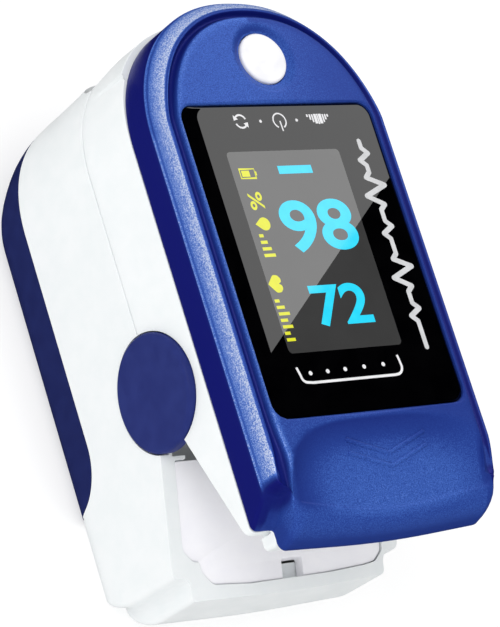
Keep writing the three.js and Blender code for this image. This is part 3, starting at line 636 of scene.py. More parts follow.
# ------------------------------------------------------------------ casings
def shell_outline(hw=15.1, x_tongue=12.9, y_end=-29.4, y_notch=-26.7, r_in=1.4, y_corner=None):
    yc = y_end + 0.35 if y_corner is None else y_corner
    return plan_ring(hw, (-hw, y_notch), (-x_tongue, y_notch), (-x_tongue, yc), (0, y_end), (x_tongue, yc), (x_tongue, y_notch), (hw, y_notch),
                     rA=0.7, rB=r_in, rC=0.5, rM=150)


def tip(z):
    pts = [(0.0, 21.4), (0.6, 24.45), (1.5, 26.1), (2.6, 27.3), (3.8, 28.15), (5.5, 28.75), (7.5, 28.95), (11.2, 29.15), (13.9, 29.35), (17.0, 29.9), (19.6, 29.95)]
    zs, ys = zip(*pts)
    # smoothed lookup
    return float(np.mean([np.interp(min(max(z + d, 0), 19.6), zs, ys) for d in (-0.5, -0.25, 0, 0.25, 0.5)]))


def lower_ring(z, inset=0.0):
    base = shell_outline(15.1 - inset, 12.9 - inset, -29.4 + inset, -26.7 + inset)
    r = 2.7
    hw = 15.1 - (r - math.sqrt(max(0.0, r * r - (r - min(z, r)) ** 2)))
    sx = hw / 15.1
    R = 6.6
    end = -29.4 + (R - math.sqrt(max(0.0, R * R - (R - min(z, R)) ** 2)))
    sy = (end + 22.8) / (-29.4 + 22.8)
    k = (tip(z) - ARCH_Y) / 15.1
    out = base.copy()
    out[:, 0] *= sx
    y = out[:, 1]
    sine = np.clip((y - ARCH_Y) / np.maximum(np.hypot(out[:, 0], y - ARCH_Y), 1e-6), 0, 1)
    kk = 1 + (k - 1) * sine ** (3.5 * float(smooth(2.0, 8.0, z)))
    out[:, 1] = np.where(y > ARCH_Y, ARCH_Y + (y - ARCH_Y) * kk, np.where(y < -22.8, -22.8 + (y + 22.8) * sy, y))
    return out


LOW_Z = [0.0, 0.04, 0.12, 0.25, 0.42, 0.65, 0.95, 1.3, 1.7, 2.2, 2.8, 3.4, 4.1, 4.8, 5.5, 6.1, 6.6, 7.3, 8.2, 9.4, 10.8, 12.2, 13.6, 14.8, 16.0, 17.2, 18.4, 19.2]


def lower_hull(top=19.54, extra=()):
    rings = [at(lower_ring(z), z) for z in LOW_Z if z < top - 0.2]
    rings += [at(lower_ring(top - 0.1), top - 0.1), at(lower_ring(top - 0.03, 0.04), top - 0.03), at(lower_ring(top, 0.1), top)]
    return stack("lower_hull", rings)


def low_top(y):
    return 19.54 + 0.3257 * (y - PIVOT_Y)


def door_side(grow):
    up = [(-9.2 - (6.4 + grow) * math.sin(t), (6.1 + grow) * math.cos(t)) for t in np.linspace(PI / 2, 0, 40)]
    # upper edge rises a little at the finger end
    edge = [(y, 6.1 + grow + 0.45 * float(smooth(14.0, 30.0, y))) for y in np.linspace(-8.6, 40, 60)]
    return ([(-15.6 - grow, -5)] + up + edge + [(40, -5)])[::-1]


def inside_lower(inset, z0, z1, y_end=-29.4):
    hw = 15.1 - inset
    pts = plan_arch(hw, y_end + inset)
    return prism("tool", pts, z0, z1)


SIDE_IN = [(-25, 30), (-25, 1.35), (21.0, 1.35)] + [(21.0 + 6.65 * math.cos(a), 8.0 + 6.65 * math.sin(a)) for a in np.linspace(1.5 * PI, 1.955 * PI, 20)][1:] + [(28.4, 19.45), (28.4, 30)]

REAR = [(13.25, -15.35), (-13.25, -15.35), (-13.35, -24.0), (-12.2, -25.15), (-11.45, -25.25), (-11.2, -26.4), (-10.0, -27.6), (-5.2, -27.92),
        (5.2, -27.92), (10.0, -27.7), (11.9, -27.3), (12.75, -26.3), (12.9, -24.9), (13.3, -24.0)]


def rounded_closed(poly, radii, n=6):
    P = [np.array(p, float) for p in poly]
    out = []
    N = len(P)
    for i in range(N):
        a, b = P[i - 1] - P[i], P[(i + 1) % N] - P[i]
        la, lb = np.linalg.norm(a), np.linalg.norm(b)
        a, b = a / la, b / lb
        ang = math.acos(max(-1, min(1, float(a @ b))))
        if ang > PI - 0.02:
            out.append(P[i])
            continue
        tl = min(radii[i] / math.tan(ang / 2), 0.47 * min(la, lb))
        r = tl * math.tan(ang / 2)
        t1, t2 = P[i] + a * tl, P[i] + b * tl
        c = P[i] + (a + b) / np.linalg.norm(a + b) * (r / math.sin(ang / 2))
        u, v = t1 - c, t2 - c
        side = 1 if u[0] * v[1] - u[1] * v[0] > 0 else -1
        for k in range(n):
            s = side * (PI - ang) * k / (n - 1)
            out.append(c + np.array([u[0] * math.cos(s) - u[1] * math.sin(s), u[0] * math.sin(s) + u[1] * math.cos(s)]))
    return np.array(out)


def offset(pts, d):
    """Moves a closed counter-clockwise outline outwards by d."""
    pts = np.asarray(pts, float)
    nxt, prv = np.roll(pts, -1, 0), np.roll(pts, 1, 0)
    t = nxt - prv
    t = t / np.maximum(np.linalg.norm(t, axis=1, keepdims=True), 1e-9)
    n = np.column_stack([t[:, 1], -t[:, 0]])
    return pts + n * d


# tray outline, counter-clockwise seen from above, with a finger notch in its outer edge
TRAY_POLY = [(13.25, -15.35), (-13.3, -15.35), (-13.4, -24.0), (-12.3, -25.12), (-11.5, -25.22), (-11.22, -26.3), (-10.05, -27.55), (-5.2, -27.92), (-0.75, -27.95),
             (-0.75, -26.0), (2.0, -26.0), (2.0, -27.95), (5.5, -27.92), (10.2, -27.7), (11.78, -27.5), (12.75, -26.6), (12.85, -25.4), (13.3, -24.2)]
TRAY_R = [0.3, 0.3, 0.9, 0.9, 0.25, 0.7, 1.2, 3, 0.12, 0.3, 0.3, 0.12, 3, 2, 0.8, 0.7, 0.8, 1.0]
TRAY_OUT = rounded_closed(TRAY_POLY, TRAY_R, 7)
SEAT_POLY = [(13.25, -15.35), (-13.3, -15.35), (-13.4, -24.0), (-12.3, -25.12), (-11.5, -25.22), (-11.22, -26.3), (-10.05, -27.55), (-5.2, -27.92),
             (5.5, -27.92), (10.2, -27.7), (11.78, -27.5), (12.75, -26.6), (12.85, -25.4), (13.3, -24.2)]
SEAT_R = [0.3, 0.3, 0.9, 0.9, 0.25, 0.7, 1.2, 3, 3, 2, 0.8, 0.7, 0.8, 1.0]
SEAT_OUT = offset(rounded_closed(SEAT_POLY, SEAT_R, 7), 0.13)


def on_slope(pts, d):
    pts = np.asarray(pts)
    return np.column_stack([pts, low_top(pts[:, 1]) - d])


def ear(side, x0, x1, dz, w):
    a, b = (x0, x1) if side > 0 else (-x1, -x0)
    post = boxm(a, b, PIVOT_Y - w, PIVOT_Y + w, 12.9, PIVOT_Z) if dz < 0 else boxm(a, b, PIVOT_Y - w, PIVOT_Y + w, PIVOT_Z, 26.2)
    return boolean(rodx(PIVOT_Y, PIVOT_Z, w, a, b, 64), [post], "UNION")


def build_lower():
    ob = lower_hull()
    cutters = [
        # above the sloping top edge behind the pin
        prism("tool", [(-8.0, 19.541), (-8.0, 45), (-45, 45), (-45, low_top(-45)), (PIVOT_Y, 19.541)], -20, 20, "x"),
        prism("tool", door_side(0.1), -20, 20, "x"),
        boolean(boxm(-11.4, 11.4, -26.2, 23.15, 1.5, 12.45), [inside_lower(1.9, 1.0, 13.0)], "INTERSECT"),
        boxm(-20, 20, -15.9, 40, -5, 1.7),
        boolean(inside_lower(1.5, 13.15, 30), [boxm(-20, 20, -14.9, 40, 13.15, 30)], "INTERSECT"),
        ellipse_y(11.4, 6.2, 0, 40),
        stack("tool", [on_slope(SEAT_OUT, 1.6), on_slope(SEAT_OUT, -3)]),
        boolean(inside_lower(2.6, 13.15, 30, -28.6), [boxm(-12.0, 12.0, -25.0, -13, 13.15, 30)], "INTERSECT"),
        rodx(PIVOT_Y, PIVOT_Z, 6.33, 14.0, 20), rodx(PIVOT_Y, PIVOT_Z, 6.33, -20, -14.0),
    ]
    boolean(ob, cutters)
    boolean(ob, [ear(1, 11.3, 12.6, -1, 3.4), ear(-1, 11.3, 12.6, -1, 3.4)], "UNION")
    boolean(ob, [rodx(PIVOT_Y, PIVOT_Z, 1.12, -20, 20, 48)])
    ob = done(ob, "lower_casing", "lower_half", [WHITE, CAVITY_SHADE], ["lower_shell"], angle=28)
    # faces inside the cavity under the tray get the painted shade material
    for f in ob.data.polygons:
        c = f.center * 1000
        if abs(c.x) < 12.1 and -25.1 < c.y < -10.0 and c.z > 13.05 and not (c.y < -15.3 and c.z > low_top(c.y) - 1.7):
            f.material_index = 1
    return ob


def build_door():
    ob = stack("door", [at(lower_ring(z), z) for z in LOW_Z if z < 9.5])
    keep = prism("tool", door_side(0.0), -20, 20, "x")
    boolean(ob, [keep], "INTERSECT")
    inner = boolean(inside_lower(1.6, 1.35, 20), [prism("tool", SIDE_IN, -20, 20, "x")], "INTERSECT")
    grooves = [boxm(-6, 6, 15.2 + i * 1.6, 15.9 + i * 1.6, -1, 0.35) for i in range(4)]
    boolean(ob, [inner] + grooves)
    return done(ob, "battery_door_cover", "battery_door", NAVY_DOOR, ["battery_door"], angle=28)


def build_tray():
    rings = [on_slope(TRAY_OUT, 1.45), on_slope(TRAY_OUT, 0.30), on_slope(offset(TRAY_OUT, -0.03), 0.23), on_slope(offset(TRAY_OUT, -0.10), 0.19)]
    ob = stack("tray", rings)
    return done(ob, "rear_tray", "lower_half", TRAY, ["rear_inner_cover"], angle=30)


def upper_ring(z, inset=0.0):
    t = (z - 19.66) / (26.9 - 19.66)
    hw = 15.1 - 0.6 * min(t, 1.0)
    s = hw / 15.1
    y_end = -28.75 - 0.25 * smooth(26.2, 28.1, z)
    base = shell_outline(15.1 - inset, 12.75 - inset, y_end + inset, -26.65 + inset, r_in=0.6)
    out = base.copy()
    side = np.abs(out[:, 0]) > 12.8
    out[:, 0] = np.where(side, out[:, 0] * s, out[:, 0])
    y = out[:, 1]
    out[:, 1] = np.where(y > ARCH_Y, ARCH_Y + (y - ARCH_Y) * s, y)
    full = 1 + 0.024 * min(t, 1.0) * np.sin(2 * np.arctan2(np.maximum(out[:, 1] - ARCH_Y, 0), out[:, 0])) ** 2
    out[:, 0] = np.where(y > ARCH_Y, out[:, 0] * full, out[:, 0])
    out[:, 1] = np.where(y > ARCH_Y, ARCH_Y + (out[:, 1] - ARCH_Y) * full, out[:, 1])
    return out


def up_bottom(y):
    return 19.55 + 0.3725 * (PIVOT_Y - y)


def build_upper():
    z0 = 19.68
    zs = [z0, z0 + 0.04, z0 + 0.12] + list(np.linspace(20.4, 26.6, 12))
    rings = [at(upper_ring(z0, 0.1), z0), at(upper_ring(z0, 0.03), z0 + 0.04)]
    rings += [at(upper_ring(z), z) for z in zs[2:]]
    rings += [at(upper_ring(26.9), side_z(26.9, 27.2)), at(upper_ring(26.98, 0.05), side_z(26.98, 27.9)), at(upper_ring(27.0, 0.25), side_z(27.0, 28.3))]
    ob = stack("upper", rings)
    v = [(-8.0, z0 - 0.001), (PIVOT_Y, z0 - 0.001), (-26.4, up_bottom(-26.4)), (-26.9, 26.2), (-45, 26.2), (-45, 10), (-8.0, 10)]
    boolean(ob, [
        prism("tool", v, -20, 20, "x"),
        boolean(prism("tool", plan_arch(15.1 - 1.95, -26.6), 10, 25.9), [boxm(-20, 20, -24.5, 40, 10, 25.9)], "INTERSECT"),
        ellipse_y(11.4, 6.2, 0, 40),
        boxm(-5.4, 5.4, 5.0, 15.0, 20, 26.1),
        rodx(PIVOT_Y, PIVOT_Z, 6.33, 14.0, 20), rodx(PIVOT_Y, PIVOT_Z, 6.33, -20, -14.0),
    ])
    boolean(ob, [ear(1, 9.4, 10.9, 1, 3.0), ear(-1, 9.4, 10.9, 1, 3.0)], "UNION")
    boolean(ob, [rodx(PIVOT_Y, PIVOT_Z, 1.12, -20, 20, 48), boxm(-2.6, 2.6, -7.0, -5.4, 25, 28.6)]
            + [rodz(x, y, 0.75, 15, 30, 32) for x, y in SCREWS] + [rodz(x, y, 1.35, 15, 26.0, 32) for x, y in SCREWS])
    return done(ob, "upper_casing", "upper_half", WHITE, ["upper_shell"], angle=28)


build_lower()
build_upper()
build_door()
build_tray()


# ------------------------------------------------------------------ turned pieces
def lathe(profile, n, centre, axis):
    """Turns (radius, height) about an axis through centre."""
    rings = []
    for r, h in profile:
        a = np.linspace(0, 2 * PI, n, endpoint=False)
        c, s = r * np.cos(a), r * np.sin(a)
        if axis == "z":
            rings.append(np.column_stack([centre[0] + c, centre[1] + s, np.full(n, centre[2] + h)]))
        elif axis == "x":
            rings.append(np.column_stack([np.full(n, centre[0] + h), centre[1] + c, centre[2] + s]))
        else:
            rings.append(np.column_stack([centre[0] + s, np.full(n, centre[1] + h), centre[2] + c]))
    return stack("lathe", rings)


def dome(r, z_edge, z_top, fillet, n=14):
    """Profile of a shallow dome with a rounded edge."""
    out = []
    for k in range(n + 1):
        a = (PI / 2) * k / n
        out.append((r - fillet + fillet * math.cos(a), z_edge - fillet + fillet * math.sin(a)))
    for k in range(1, n + 1):
        t = k / n
        rr = (r - fillet) * (1 - t)
        out.append((max(rr, 0.02), z_edge + (z_top - z_edge) * (1 - (rr / (r - fillet)) ** 2)))
    return out


def build_button():
    prof = [(0.05, 31.46), (3.4, 31.46), (3.5, 31.5), (3.5, 31.86), (3.42, 31.9), (2.86, 31.95)]
    prof += [(r, z) for r, z in dome(2.88, 33.80, 33.94, 0.34)]
    return done(lathe(prof, 128, (BUTTON_X, BUTTON_Y, 0), "z"), "button_cap", "power_button", BUTTON, ["power_button"], angle=40)


build_button()
for side, name in ((-1, "left"), (1, "right")):
    prof = [(0.05, 0.0), (6.1, 0.0), (6.2, 0.06), (6.2, 0.85)]
    prof += [(6.2 - 0.52 * (1 - math.cos(a)), 0.85 + 0.52 * math.sin(a)) for a in np.linspace(0.12, PI / 2, 10)]
    prof += [(5.5, 1.385), (4.0, 1.41), (2.0, 1.43), (0.05, 1.435)]
    prof = [(r, side * (h + 14.1)) for r, h in prof]
    ob = lathe(prof if side > 0 else prof[::-1], 160, (0, PIVOT_Y, PIVOT_Z), "x")
    done(ob, f"pivot_disc_{name}", "upper_half", NAVY, [f"pivot_cap_{name}"], angle=40)

for side, name in ((-1, "left"), (1, "right")):
    y0 = -21.9
    body = [(0.05, 0.0), (4.6, 0.0), (4.95, 0.05), (5.1, 0.2), (5.12, 0.5), (5.2, 0.55), (5.25, 0.65), (5.25, 42.6), (5.2, 42.75), (5.0, 42.85), (4.9, 43.0), (4.7, 43.1), (2.3, 43.15), (1.95, 43.2), (1.9, 43.3), (1.9, 44.0), (1.75, 44.15), (0.05, 44.18)]
    prof = body if side > 0 else [(r, 43.3 - h) for r, h in body][::-1]
    done(lathe(prof, 72, (side * 5.6, y0, 6.95), "y"), f"battery_{name}", "lower_half", JACKET, [f"aaa_cell_{name}"], angle=35)

done(lathe([(0.05, -13.85), (0.9, -13.85), (1.0, -13.75), (1.0, 13.75), (0.9, 13.85), (0.05, 13.85)], 48, (0, PIVOT_Y, PIVOT_Z), "x"), "pivot_pin", "lower_half", STEEL, ["hinge_pin"], angle=35)


def tube(points, r, n=14):
    P = [np.array(p, float) for p in points]
    t0 = P[1] - P[0]
    t0 = t0 / np.linalg.norm(t0)
    u = np.cross(t0, [0, 0, 1.0])
    u = u / np.linalg.norm(u) if np.linalg.norm(u) > 1e-3 else np.array([1.0, 0, 0])
    rings = []
    for i, p in enumerate(P):
        t = P[min(i + 1, len(P) - 1)] - P[max(i - 1, 0)]
        t = t / np.linalg.norm(t)
        u = u - t * (u @ t)
        u = u / np.linalg.norm(u)
        v = np.cross(t, u)
        rings.append(np.array([p + r * (math.cos(a) * u + math.sin(a) * v) for a in np.linspace(0, 2 * PI, n, endpoint=False)]))
    return stack("tube", rings)


def coil_points(x0, x1, r=2.4, turns=3, n=220):
    out = []
    for k in range(n + 1):
        t = k / n
        leg = 0.16
        if t < leg:
            s = 1 - t / leg
            a0 = -1.15
            far = np.array([x0, PIVOT_Y + r * math.sin(a0) * 0.35 - 4.6 * s - 0.6, PIVOT_Z - r - 1.75 * s - 0.1])
            near = np.array([x0, PIVOT_Y, PIVOT_Z - r])
            out.append(far + (near - far) * (1 - s))
        elif t > 1 - leg:
            s = (t - 1 + leg) / leg
            a, b = np.array([x1, PIVOT_Y, PIVOT_Z + r]), np.array([x1, PIVOT_Y - 6.2, PIVOT_Z + r + 1.9])
            out.append(a + (b - a) * s)
        else:
            w = (t - leg) / (1 - 2 * leg)
            a = PI * (1 + 2 * turns) * w
            out.append(np.array([x0 + (x1 - x0) * w, PIVOT_Y + r * math.sin(a), PIVOT_Z - r * math.cos(a)]))
    return out


SPRING_BODY = ("lower_half", "upper_half", (0, PIVOT_Y * 0.001, 0.0180), (0, PIVOT_Y * 0.001, 0.0221))
done(tube(coil_points(-8.5, -4.8), 0.36), "spring_left", SPRING_BODY, STEEL, ["torsion_spring_left"], angle=60)
done(tube(coil_points(8.5, 4.8), 0.36), "spring_right", SPRING_BODY, STEEL, ["torsion_spring_right"], angle=60)


# flexible ribbon between the halves; its path curves across the hinge
def build_ribbon():
    P = np.array([[-12.9, 14.25], [-13.0, 16.2], [-12.6, 18.4], [-11.9, 20.4], [-10.2, 22.9], [-8.0, 24.2], [-6.4, 25.4], [-6.2, 26.8], [-6.2, 27.95]])
    Q = np.vstack([2 * P[0] - P[1], P, 2 * P[-1] - P[-2]])
    path = []
    for i in range(1, len(Q) - 2):
        a, b, c, d = Q[i - 1], Q[i], Q[i + 1], Q[i + 2]
        for k in range(8):
            u = k / 8
            path.append(0.5 * (2 * b + (c - a) * u + (2 * a - 5 * b + 4 * c - d) * u * u + (3 * b - a - 3 * c + d) * u ** 3))
    path.append(P[-1])
    path = np.array(path)
    tan = np.gradient(path, axis=0)
    tan = tan / np.linalg.norm(tan, axis=1, keepdims=True)
    nor = np.column_stack([-tan[:, 1], tan[:, 0]])
    rim = [(-1.88, 0.0), (-1.84, -0.07), (-1.76, -0.10)] + [(x, -0.10) for x in (-0.9, 0.0, 0.9)] + [(1.76, -0.10), (1.84, -0.07), (1.88, 0.0), (1.84, 0.07), (1.76, 0.10)]
    rim += [(x, 0.10) for x in (0.9, 0.0, -0.9)] + [(-1.76, 0.10), (-1.84, 0.07)]
    rings = [np.array([(x, p[0] + n[0] * h, p[1] + n[1] * h) for x, h in rim]) for p, n in zip(path, nor)]
    body = ("lower_half", "upper_half", (0, -0.012, 0.0150), (0, -0.012, 0.0243))
    return done(stack("ribbon", rings), "ribbon_strip", body, RIBBON, ["flex_ribbon"], angle=50)


build_ribbon()


# ------------------------------------------------------------------ finger pads
def build_pads():
    trim_plan = plan_arch(15.1 - 1.3, -10)
    for half, name in (("lower", "lower_finger_pad"), ("upper", "upper_finger_pad")):
        ob = ellipse_y(11.15, 5.95, -2.4, 40)
        z0, z1 = (5, 19.5) if half == "lower" else (19.72, 40)
        boolean(ob, [prism("tool", trim_plan, 4, 41)], "INTERSECT")
        boolean(ob, [boxm(-20, 20, -2.4, 40, z0, z1)], "INTERSECT")
        holes = [ellipse_y(8.8, 4.6, -0.9, 41)]
        if half == "lower":
            holes += [boxm(-5.1, 5.1, 5.3, 14.7, 10, 14.25), boxm(-2.9, 2.9, 6.6, 13.4, 10, 18)]
        else:
            holes += [boxm(-5.1, 5.1, 5.3, 14.7, 24.95, 40), boxm(-2.9, 2.9, 6.6, 13.4, 22, 40)]
        boolean(ob, holes)
        ob = done(ob, f"{half}_silicone_pad", f"{half}_half", RUBBER, [name], angle=32)


build_pads()


# ------------------------------------------------------------------ window
def round_rect(x0, x1, y0, y1, r, n=14):
    out = []
    for cx, cy, a0 in ((x1 - r, y1 - r, 0), (x0 + r, y1 - r, PI / 2), (x0 + r, y0 + r, PI), (x1 - r, y0 + r, 1.5 * PI)):
        out += [(cx + r * math.cos(a0 + PI / 2 * k / n), cy + r * math.sin(a0 + PI / 2 * k / n)) for k in range(n + 1)]
    return np.array(out)


def window_ring(d, z, left=0.0):
    return at(round_rect(-12.6 + d + left, 12.6 - d, -17.4 + d, 16.7 - d, max(1.7 - d, 0.4)), z)


done(stack("window", [
    window_ring(0.1, 32.25), window_ring(0.02, 32.35), window_ring(0.0, 32.6), window_ring(0.0, 33.38), window_ring(0.03, 33.44),
    window_ring(0.08, 33.455, 0.0), window_ring(0.14, 33.475, 0.25), window_ring(0.20, 33.520, 0.62), window_ring(0.25, 33.570, 1.20), window_ring(0.29, 33.588, 1.42),
    window_ring(0.33, 33.594, 1.50), window_ring(0.36, 33.595, 1.53), window_ring(0.40, 33.595, 1.56), window_ring(0.6, 33.595, 1.6), window_ring(3.0, 33.595, 1.6)]),
    "window_glass", "upper_half", GLASS, ["display_window"], angle=30)

Z_G = 33.596


def plate(name, outlines, z0, z1, material):
    """Thin printed or lit shapes on the window, one mesh."""
    obs = [prism("p", o, z0, z1) for o in outlines]
    ob = join(obs[0], obs[1:]) if len(obs) > 1 else obs[0]
    return done(ob, name, "upper_half", material, (), angle=40)


def band(path, w, closed=False):
    """Outline of a line of width w along a path."""
    P = np.array(path, float)
    n = len(P)
    left, right = [], []
    for i in range(n):
        a = P[i - 1] if i > 0 else P[i]
        b = P[i + 1] if i < n - 1 else P[i]
        t = (b - a) / np.linalg.norm(b - a)
        k = 1.0
        if 0 < i < n - 1:
            t1 = (P[i] - P[i - 1]) / np.linalg.norm(P[i] - P[i - 1])
            k = 1 / max(0.45, abs(float(t1 @ t)))
        nr = np.array([-t[1], t[0]]) * w / 2 * k
        left.append(P[i] + nr)
        right.append(P[i] - nr)
    return np.array(right + left[::-1])


def arcp(cx, cy, r, a0, a1, n=24, ry=None):
    ry = r if ry is None else ry
    return [(cx + r * math.cos(math.radians(a)), cy + ry * math.sin(math.radians(a))) for a in np.linspace(a0, a1, n)]


def rect(x0, x1, y0, y1):
    return np.array([(x0, y0), (x1, y0), (x1, y1), (x0, y1)])


def dot(x, y, r, n=24):
    return np.array(ell(r, r, n, x, y))


def text_mesh(body, height_mm, offset_mm, spacing=1.0):
    """Outline text as a flat mesh object, its lower left corner at the origin, at size 1; height_mm is not used."""
    cu = bpy.data.curves.new("t", "FONT")
    cu.body, cu.size, cu.resolution_u, cu.space_character = body, 1.0, 8, spacing
    cu.offset, cu.extrude = offset_mm, 0.01
    ob = bpy.data.objects.new("t", cu)
    bpy.context.scene.collection.objects.link(ob)
    dg = bpy.context.evaluated_depsgraph_get()
    me = bpy.data.meshes.new_from_object(ob.evaluated_get(dg))
    bpy.data.objects.remove(ob, do_unlink=True)
    o = bpy.data.objects.new("t", me)
    bpy.context.scene.collection.objects.link(o)
    return o


def place_text(ob, x0, x1, y0, y1, z0, z1, turn=False):
    """Fits a flat text mesh to a rectangle; turned text reads downwards."""
    me = ob.data
    co = np.zeros(len(me.vertices) * 3)
    me.vertices.foreach_get("co", co)
    co = co.reshape(-1, 3)
    if turn:
        co = np.column_stack([co[:, 1], -co[:, 0], co[:, 2]])
    lo, hi = co.min(0), co.max(0)
    t = (co - lo) / (hi - lo)
    out = np.column_stack([x0 + (x1 - x0) * t[:, 0], y0 + (y1 - y0) * t[:, 1], z0 + (z1 - z0) * t[:, 2]])
    me.vertices.foreach_set("co", out.ravel())
    me.update()
    return ob


done(stack("screen", [at(round_rect(-8.4, 6.5, -10.7, 11.4, 0.5, 6), 33.590), at(round_rect(-8.4, 6.5, -10.7, 11.4, 0.5, 6), 33.599)]), "screen_area", "upper_half", SCREEN, (), angle=40)

ZA, ZB = 33.594, 33.607
big = place_text(text_mesh("98", 1, 0.022), -4.15, 5.45, 0.0, 5.8, ZA, ZB)
small = place_text(text_mesh("72", 1, 0.022), -3.45, 3.95, -8.15, -3.6, ZA, ZB)
bar = prism("p", rect(-2.35, 2.1, 8.78, 9.68), ZA, ZB)
done(join(big, [small, bar]), "lit_readings", "upper_half", CYAN, (), angle=40)

# yellow side marks: percent sign, drop and level ticks; heart and pulse ticks
pct = place_text(text_mesh("%", 1, 0.012), -7.35, -5.6, 4.9, 6.9, ZA, ZB, turn=True)
drop = [(-7.35, 3.35)] + [(-6.35 + 0.72 * math.cos(math.radians(a)), 3.35 + 0.72 * math.sin(math.radians(a))) for a in np.linspace(130, -130, 24)]
drop[0] = (-7.5, 3.35)
ylw = [np.array(drop[::-1])]
ylw += [rect(-7.5 - 0.04 * k, -7.5 - 0.04 * k + 0.55 + 0.3 * k, 1.9 - 0.72 * k, 2.25 - 0.72 * k) for k in range(4)]
hx, hy = -7.35, -3.2
heart = [(hx - 0.95, hy), (hx - 0.1, hy + 0.98), (hx + 0.45, hy + 0.92), (hx + 0.78, hy + 0.55), (hx + 0.74, hy + 0.2), (hx + 0.42, hy), (hx + 0.74, hy - 0.2), (hx + 0.78, hy - 0.55), (hx + 0.45, hy - 0.92), (hx - 0.1, hy - 0.98)]
ylw.append(rounded_closed(heart[::-1], [0.1, 0.4, 0.35, 0.3, 0.2, 0.02, 0.2, 0.3, 0.35, 0.4][::-1], 5))
ylw += [rect(-8.15, -8.15 + h, y, y + 0.34) for y, h in ((-5.2, 0.6), (-5.9, 1.0), (-6.6, 1.4), (-7.3, 0.9), (-8.0, 1.3), (-8.7, 0.7), (-9.4, 1.1))]
batt = [band([(-7.42, 8.42), (-7.42, 9.46), (-5.5, 9.46), (-5.5, 8.42), (-7.47, 8.42)], 0.11), rect(-5.44, -5.3, 8.72, 9.16), rect(-7.22, -6.2, 8.6, 9.28)]
yobs = [prism("p", o, ZA, ZB) for o in ylw + batt]
done(join(pct, yobs), "lit_side_marks", "upper_half", YELLOW, (), angle=40)

# printed marks
marks = []
cx, cy, r = -5.2, 14.79, 0.72
for a0 in (20, 200):
    marks.append(band(arcp(cx, cy, r, a0, a0 + 118, 16), 0.2))
    e = math.radians(a0 + 118)
    px, py = cx + r * math.cos(e), cy + r * math.sin(e)
    tx, ty = -math.sin(e), math.cos(e)
    nx, ny = math.cos(e), math.sin(e)
    marks.append(np.array([(px + nx * 0.36, py + ny * 0.36), (px + tx * 0.5, py + ty * 0.5), (px - nx * 0.36, py - ny * 0.36)]))
marks += [dot(-2.62, 14.76, 0.17), dot(2.19, 14.8, 0.17)]
marks.append(band(arcp(-0.1, 14.78, 0.82, -65, 245, 40), 0.16))
marks.append(band([(-0.06, 14.75), (-0.02, 13.6)], 0.16))
for k, (x, h) in enumerate(((3.75, 0.3), (4.1, 0.62), (4.42, 0.9), (5.86, 0.9), (6.18, 0.62), (6.5, 0.3))):
    marks.append(rect(x - 0.1, x + 0.1, 15.42 - h, 15.42))
marks += [rect(4.62, 4.98, 14.36, 15.46), rect(5.04, 5.22, 14.3, 15.46), rect(5.28, 5.66, 14.36, 15.46)]
base = [(-8.1, -12.2), (-7.85, -13.2)] + arcp(-7.2, -13.2, 0.65, 185, 265, 8) + [(-6.6, -13.93), (4.3, -13.9)] + arcp(4.55, -12.95, 0.92, -85, -5, 10) + [(5.4, -12.4), (5.3, -11.8)]
marks.append(band(base, 0.28))
marks += [dot(x, y, 0.23) for x, y in ((-6.54, -12.92), (-4.29, -12.87), (-1.98, -12.82), (0.55, -12.73), (3.12, -12.66))]
plate("printed_marks", marks, ZA, ZB, PRINT)

# printed pulse wave along the right side
wave = [(9.65, -11.2), (9.65, -8.3), (8.95, -7.7), (10.35, -6.9), (9.65, -6.3), (9.65, -5.0), (10.35, -4.4), (8.3, -3.4), (11.2, -2.2), (9.0, -1.3), (9.65, -0.7),
        (9.65, 1.0), (8.95, 1.6), (10.35, 2.4), (9.65, 3.0), (9.65, 4.3), (10.35, 4.9), (8.3, 5.9), (11.2, 7.1), (9.0, 8.0), (9.65, 8.6), (9.65, 9.4), (8.95, 10.0), (10.35, 10.8), (9.65, 11.4), (9.65, 12.2)]
def capsule(a, b, w, n=8):
    a, b = np.array(a, float), np.array(b, float)
    t = math.atan2(b[1] - a[1], b[0] - a[0])
    r = w / 2
    return np.array([(b[0] + r * math.cos(t - PI / 2 + PI * k / n), b[1] + r * math.sin(t - PI / 2 + PI * k / n)) for k in range(n + 1)]
                    + [(a[0] + r * math.cos(t + PI / 2 + PI * k / n), a[1] + r * math.sin(t + PI / 2 + PI * k / n)) for k in range(n + 1)])


line = [prism("p", capsule(a, b, 0.58), ZA - 0.3, ZB) for a, b in zip(wave[:-1], wave[1:])]
line = boolean(line[0], line[1:], "UNION")
boolean(line, [boxm(5, 13, -20, 20, 30, ZA)])
done(line, "printed_wave", "upper_half", PRINT_GREY, (), angle=40)

# ------------------------------------------------------------------ carried-over CAD nodes
CARRIED = {
    "sensor_board": BOARD, "photodiode": CHIP, "sensor_window": RED, "battery_link_plate": CONTACT, "contact_plate_positive": CONTACT,
    "contact_spring_negative": CONTACT, "oled_panel": OLED, "main_board": BOARD, "controller_chip": CHIP,
    "switch_body": CHIP, "emitter_board": BOARD, "emitter_led": LED, "emitter_window": RED, "switch_plunger": CHIP,
    "cover_screw_front_left": STEEL, "cover_screw_front_right": STEEL, "cover_screw_rear_left": STEEL, "cover_screw_rear_right": STEEL,
}
for n, m in CARRIED.items():
    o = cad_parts[n]
    o.data.materials.clear()
    o.data.materials.append(m)

# ------------------------------------------------------------------ stage
def stage_mesh(name, verts, faces, material):
    me = bpy.data.meshes.new(name)
    me.from_pydata(verts, [], faces)
    me.materials.append(material)
    ob = bpy.data.objects.new(name, me)
    bpy.context.scene.collection.objects.link(ob)
    return ob


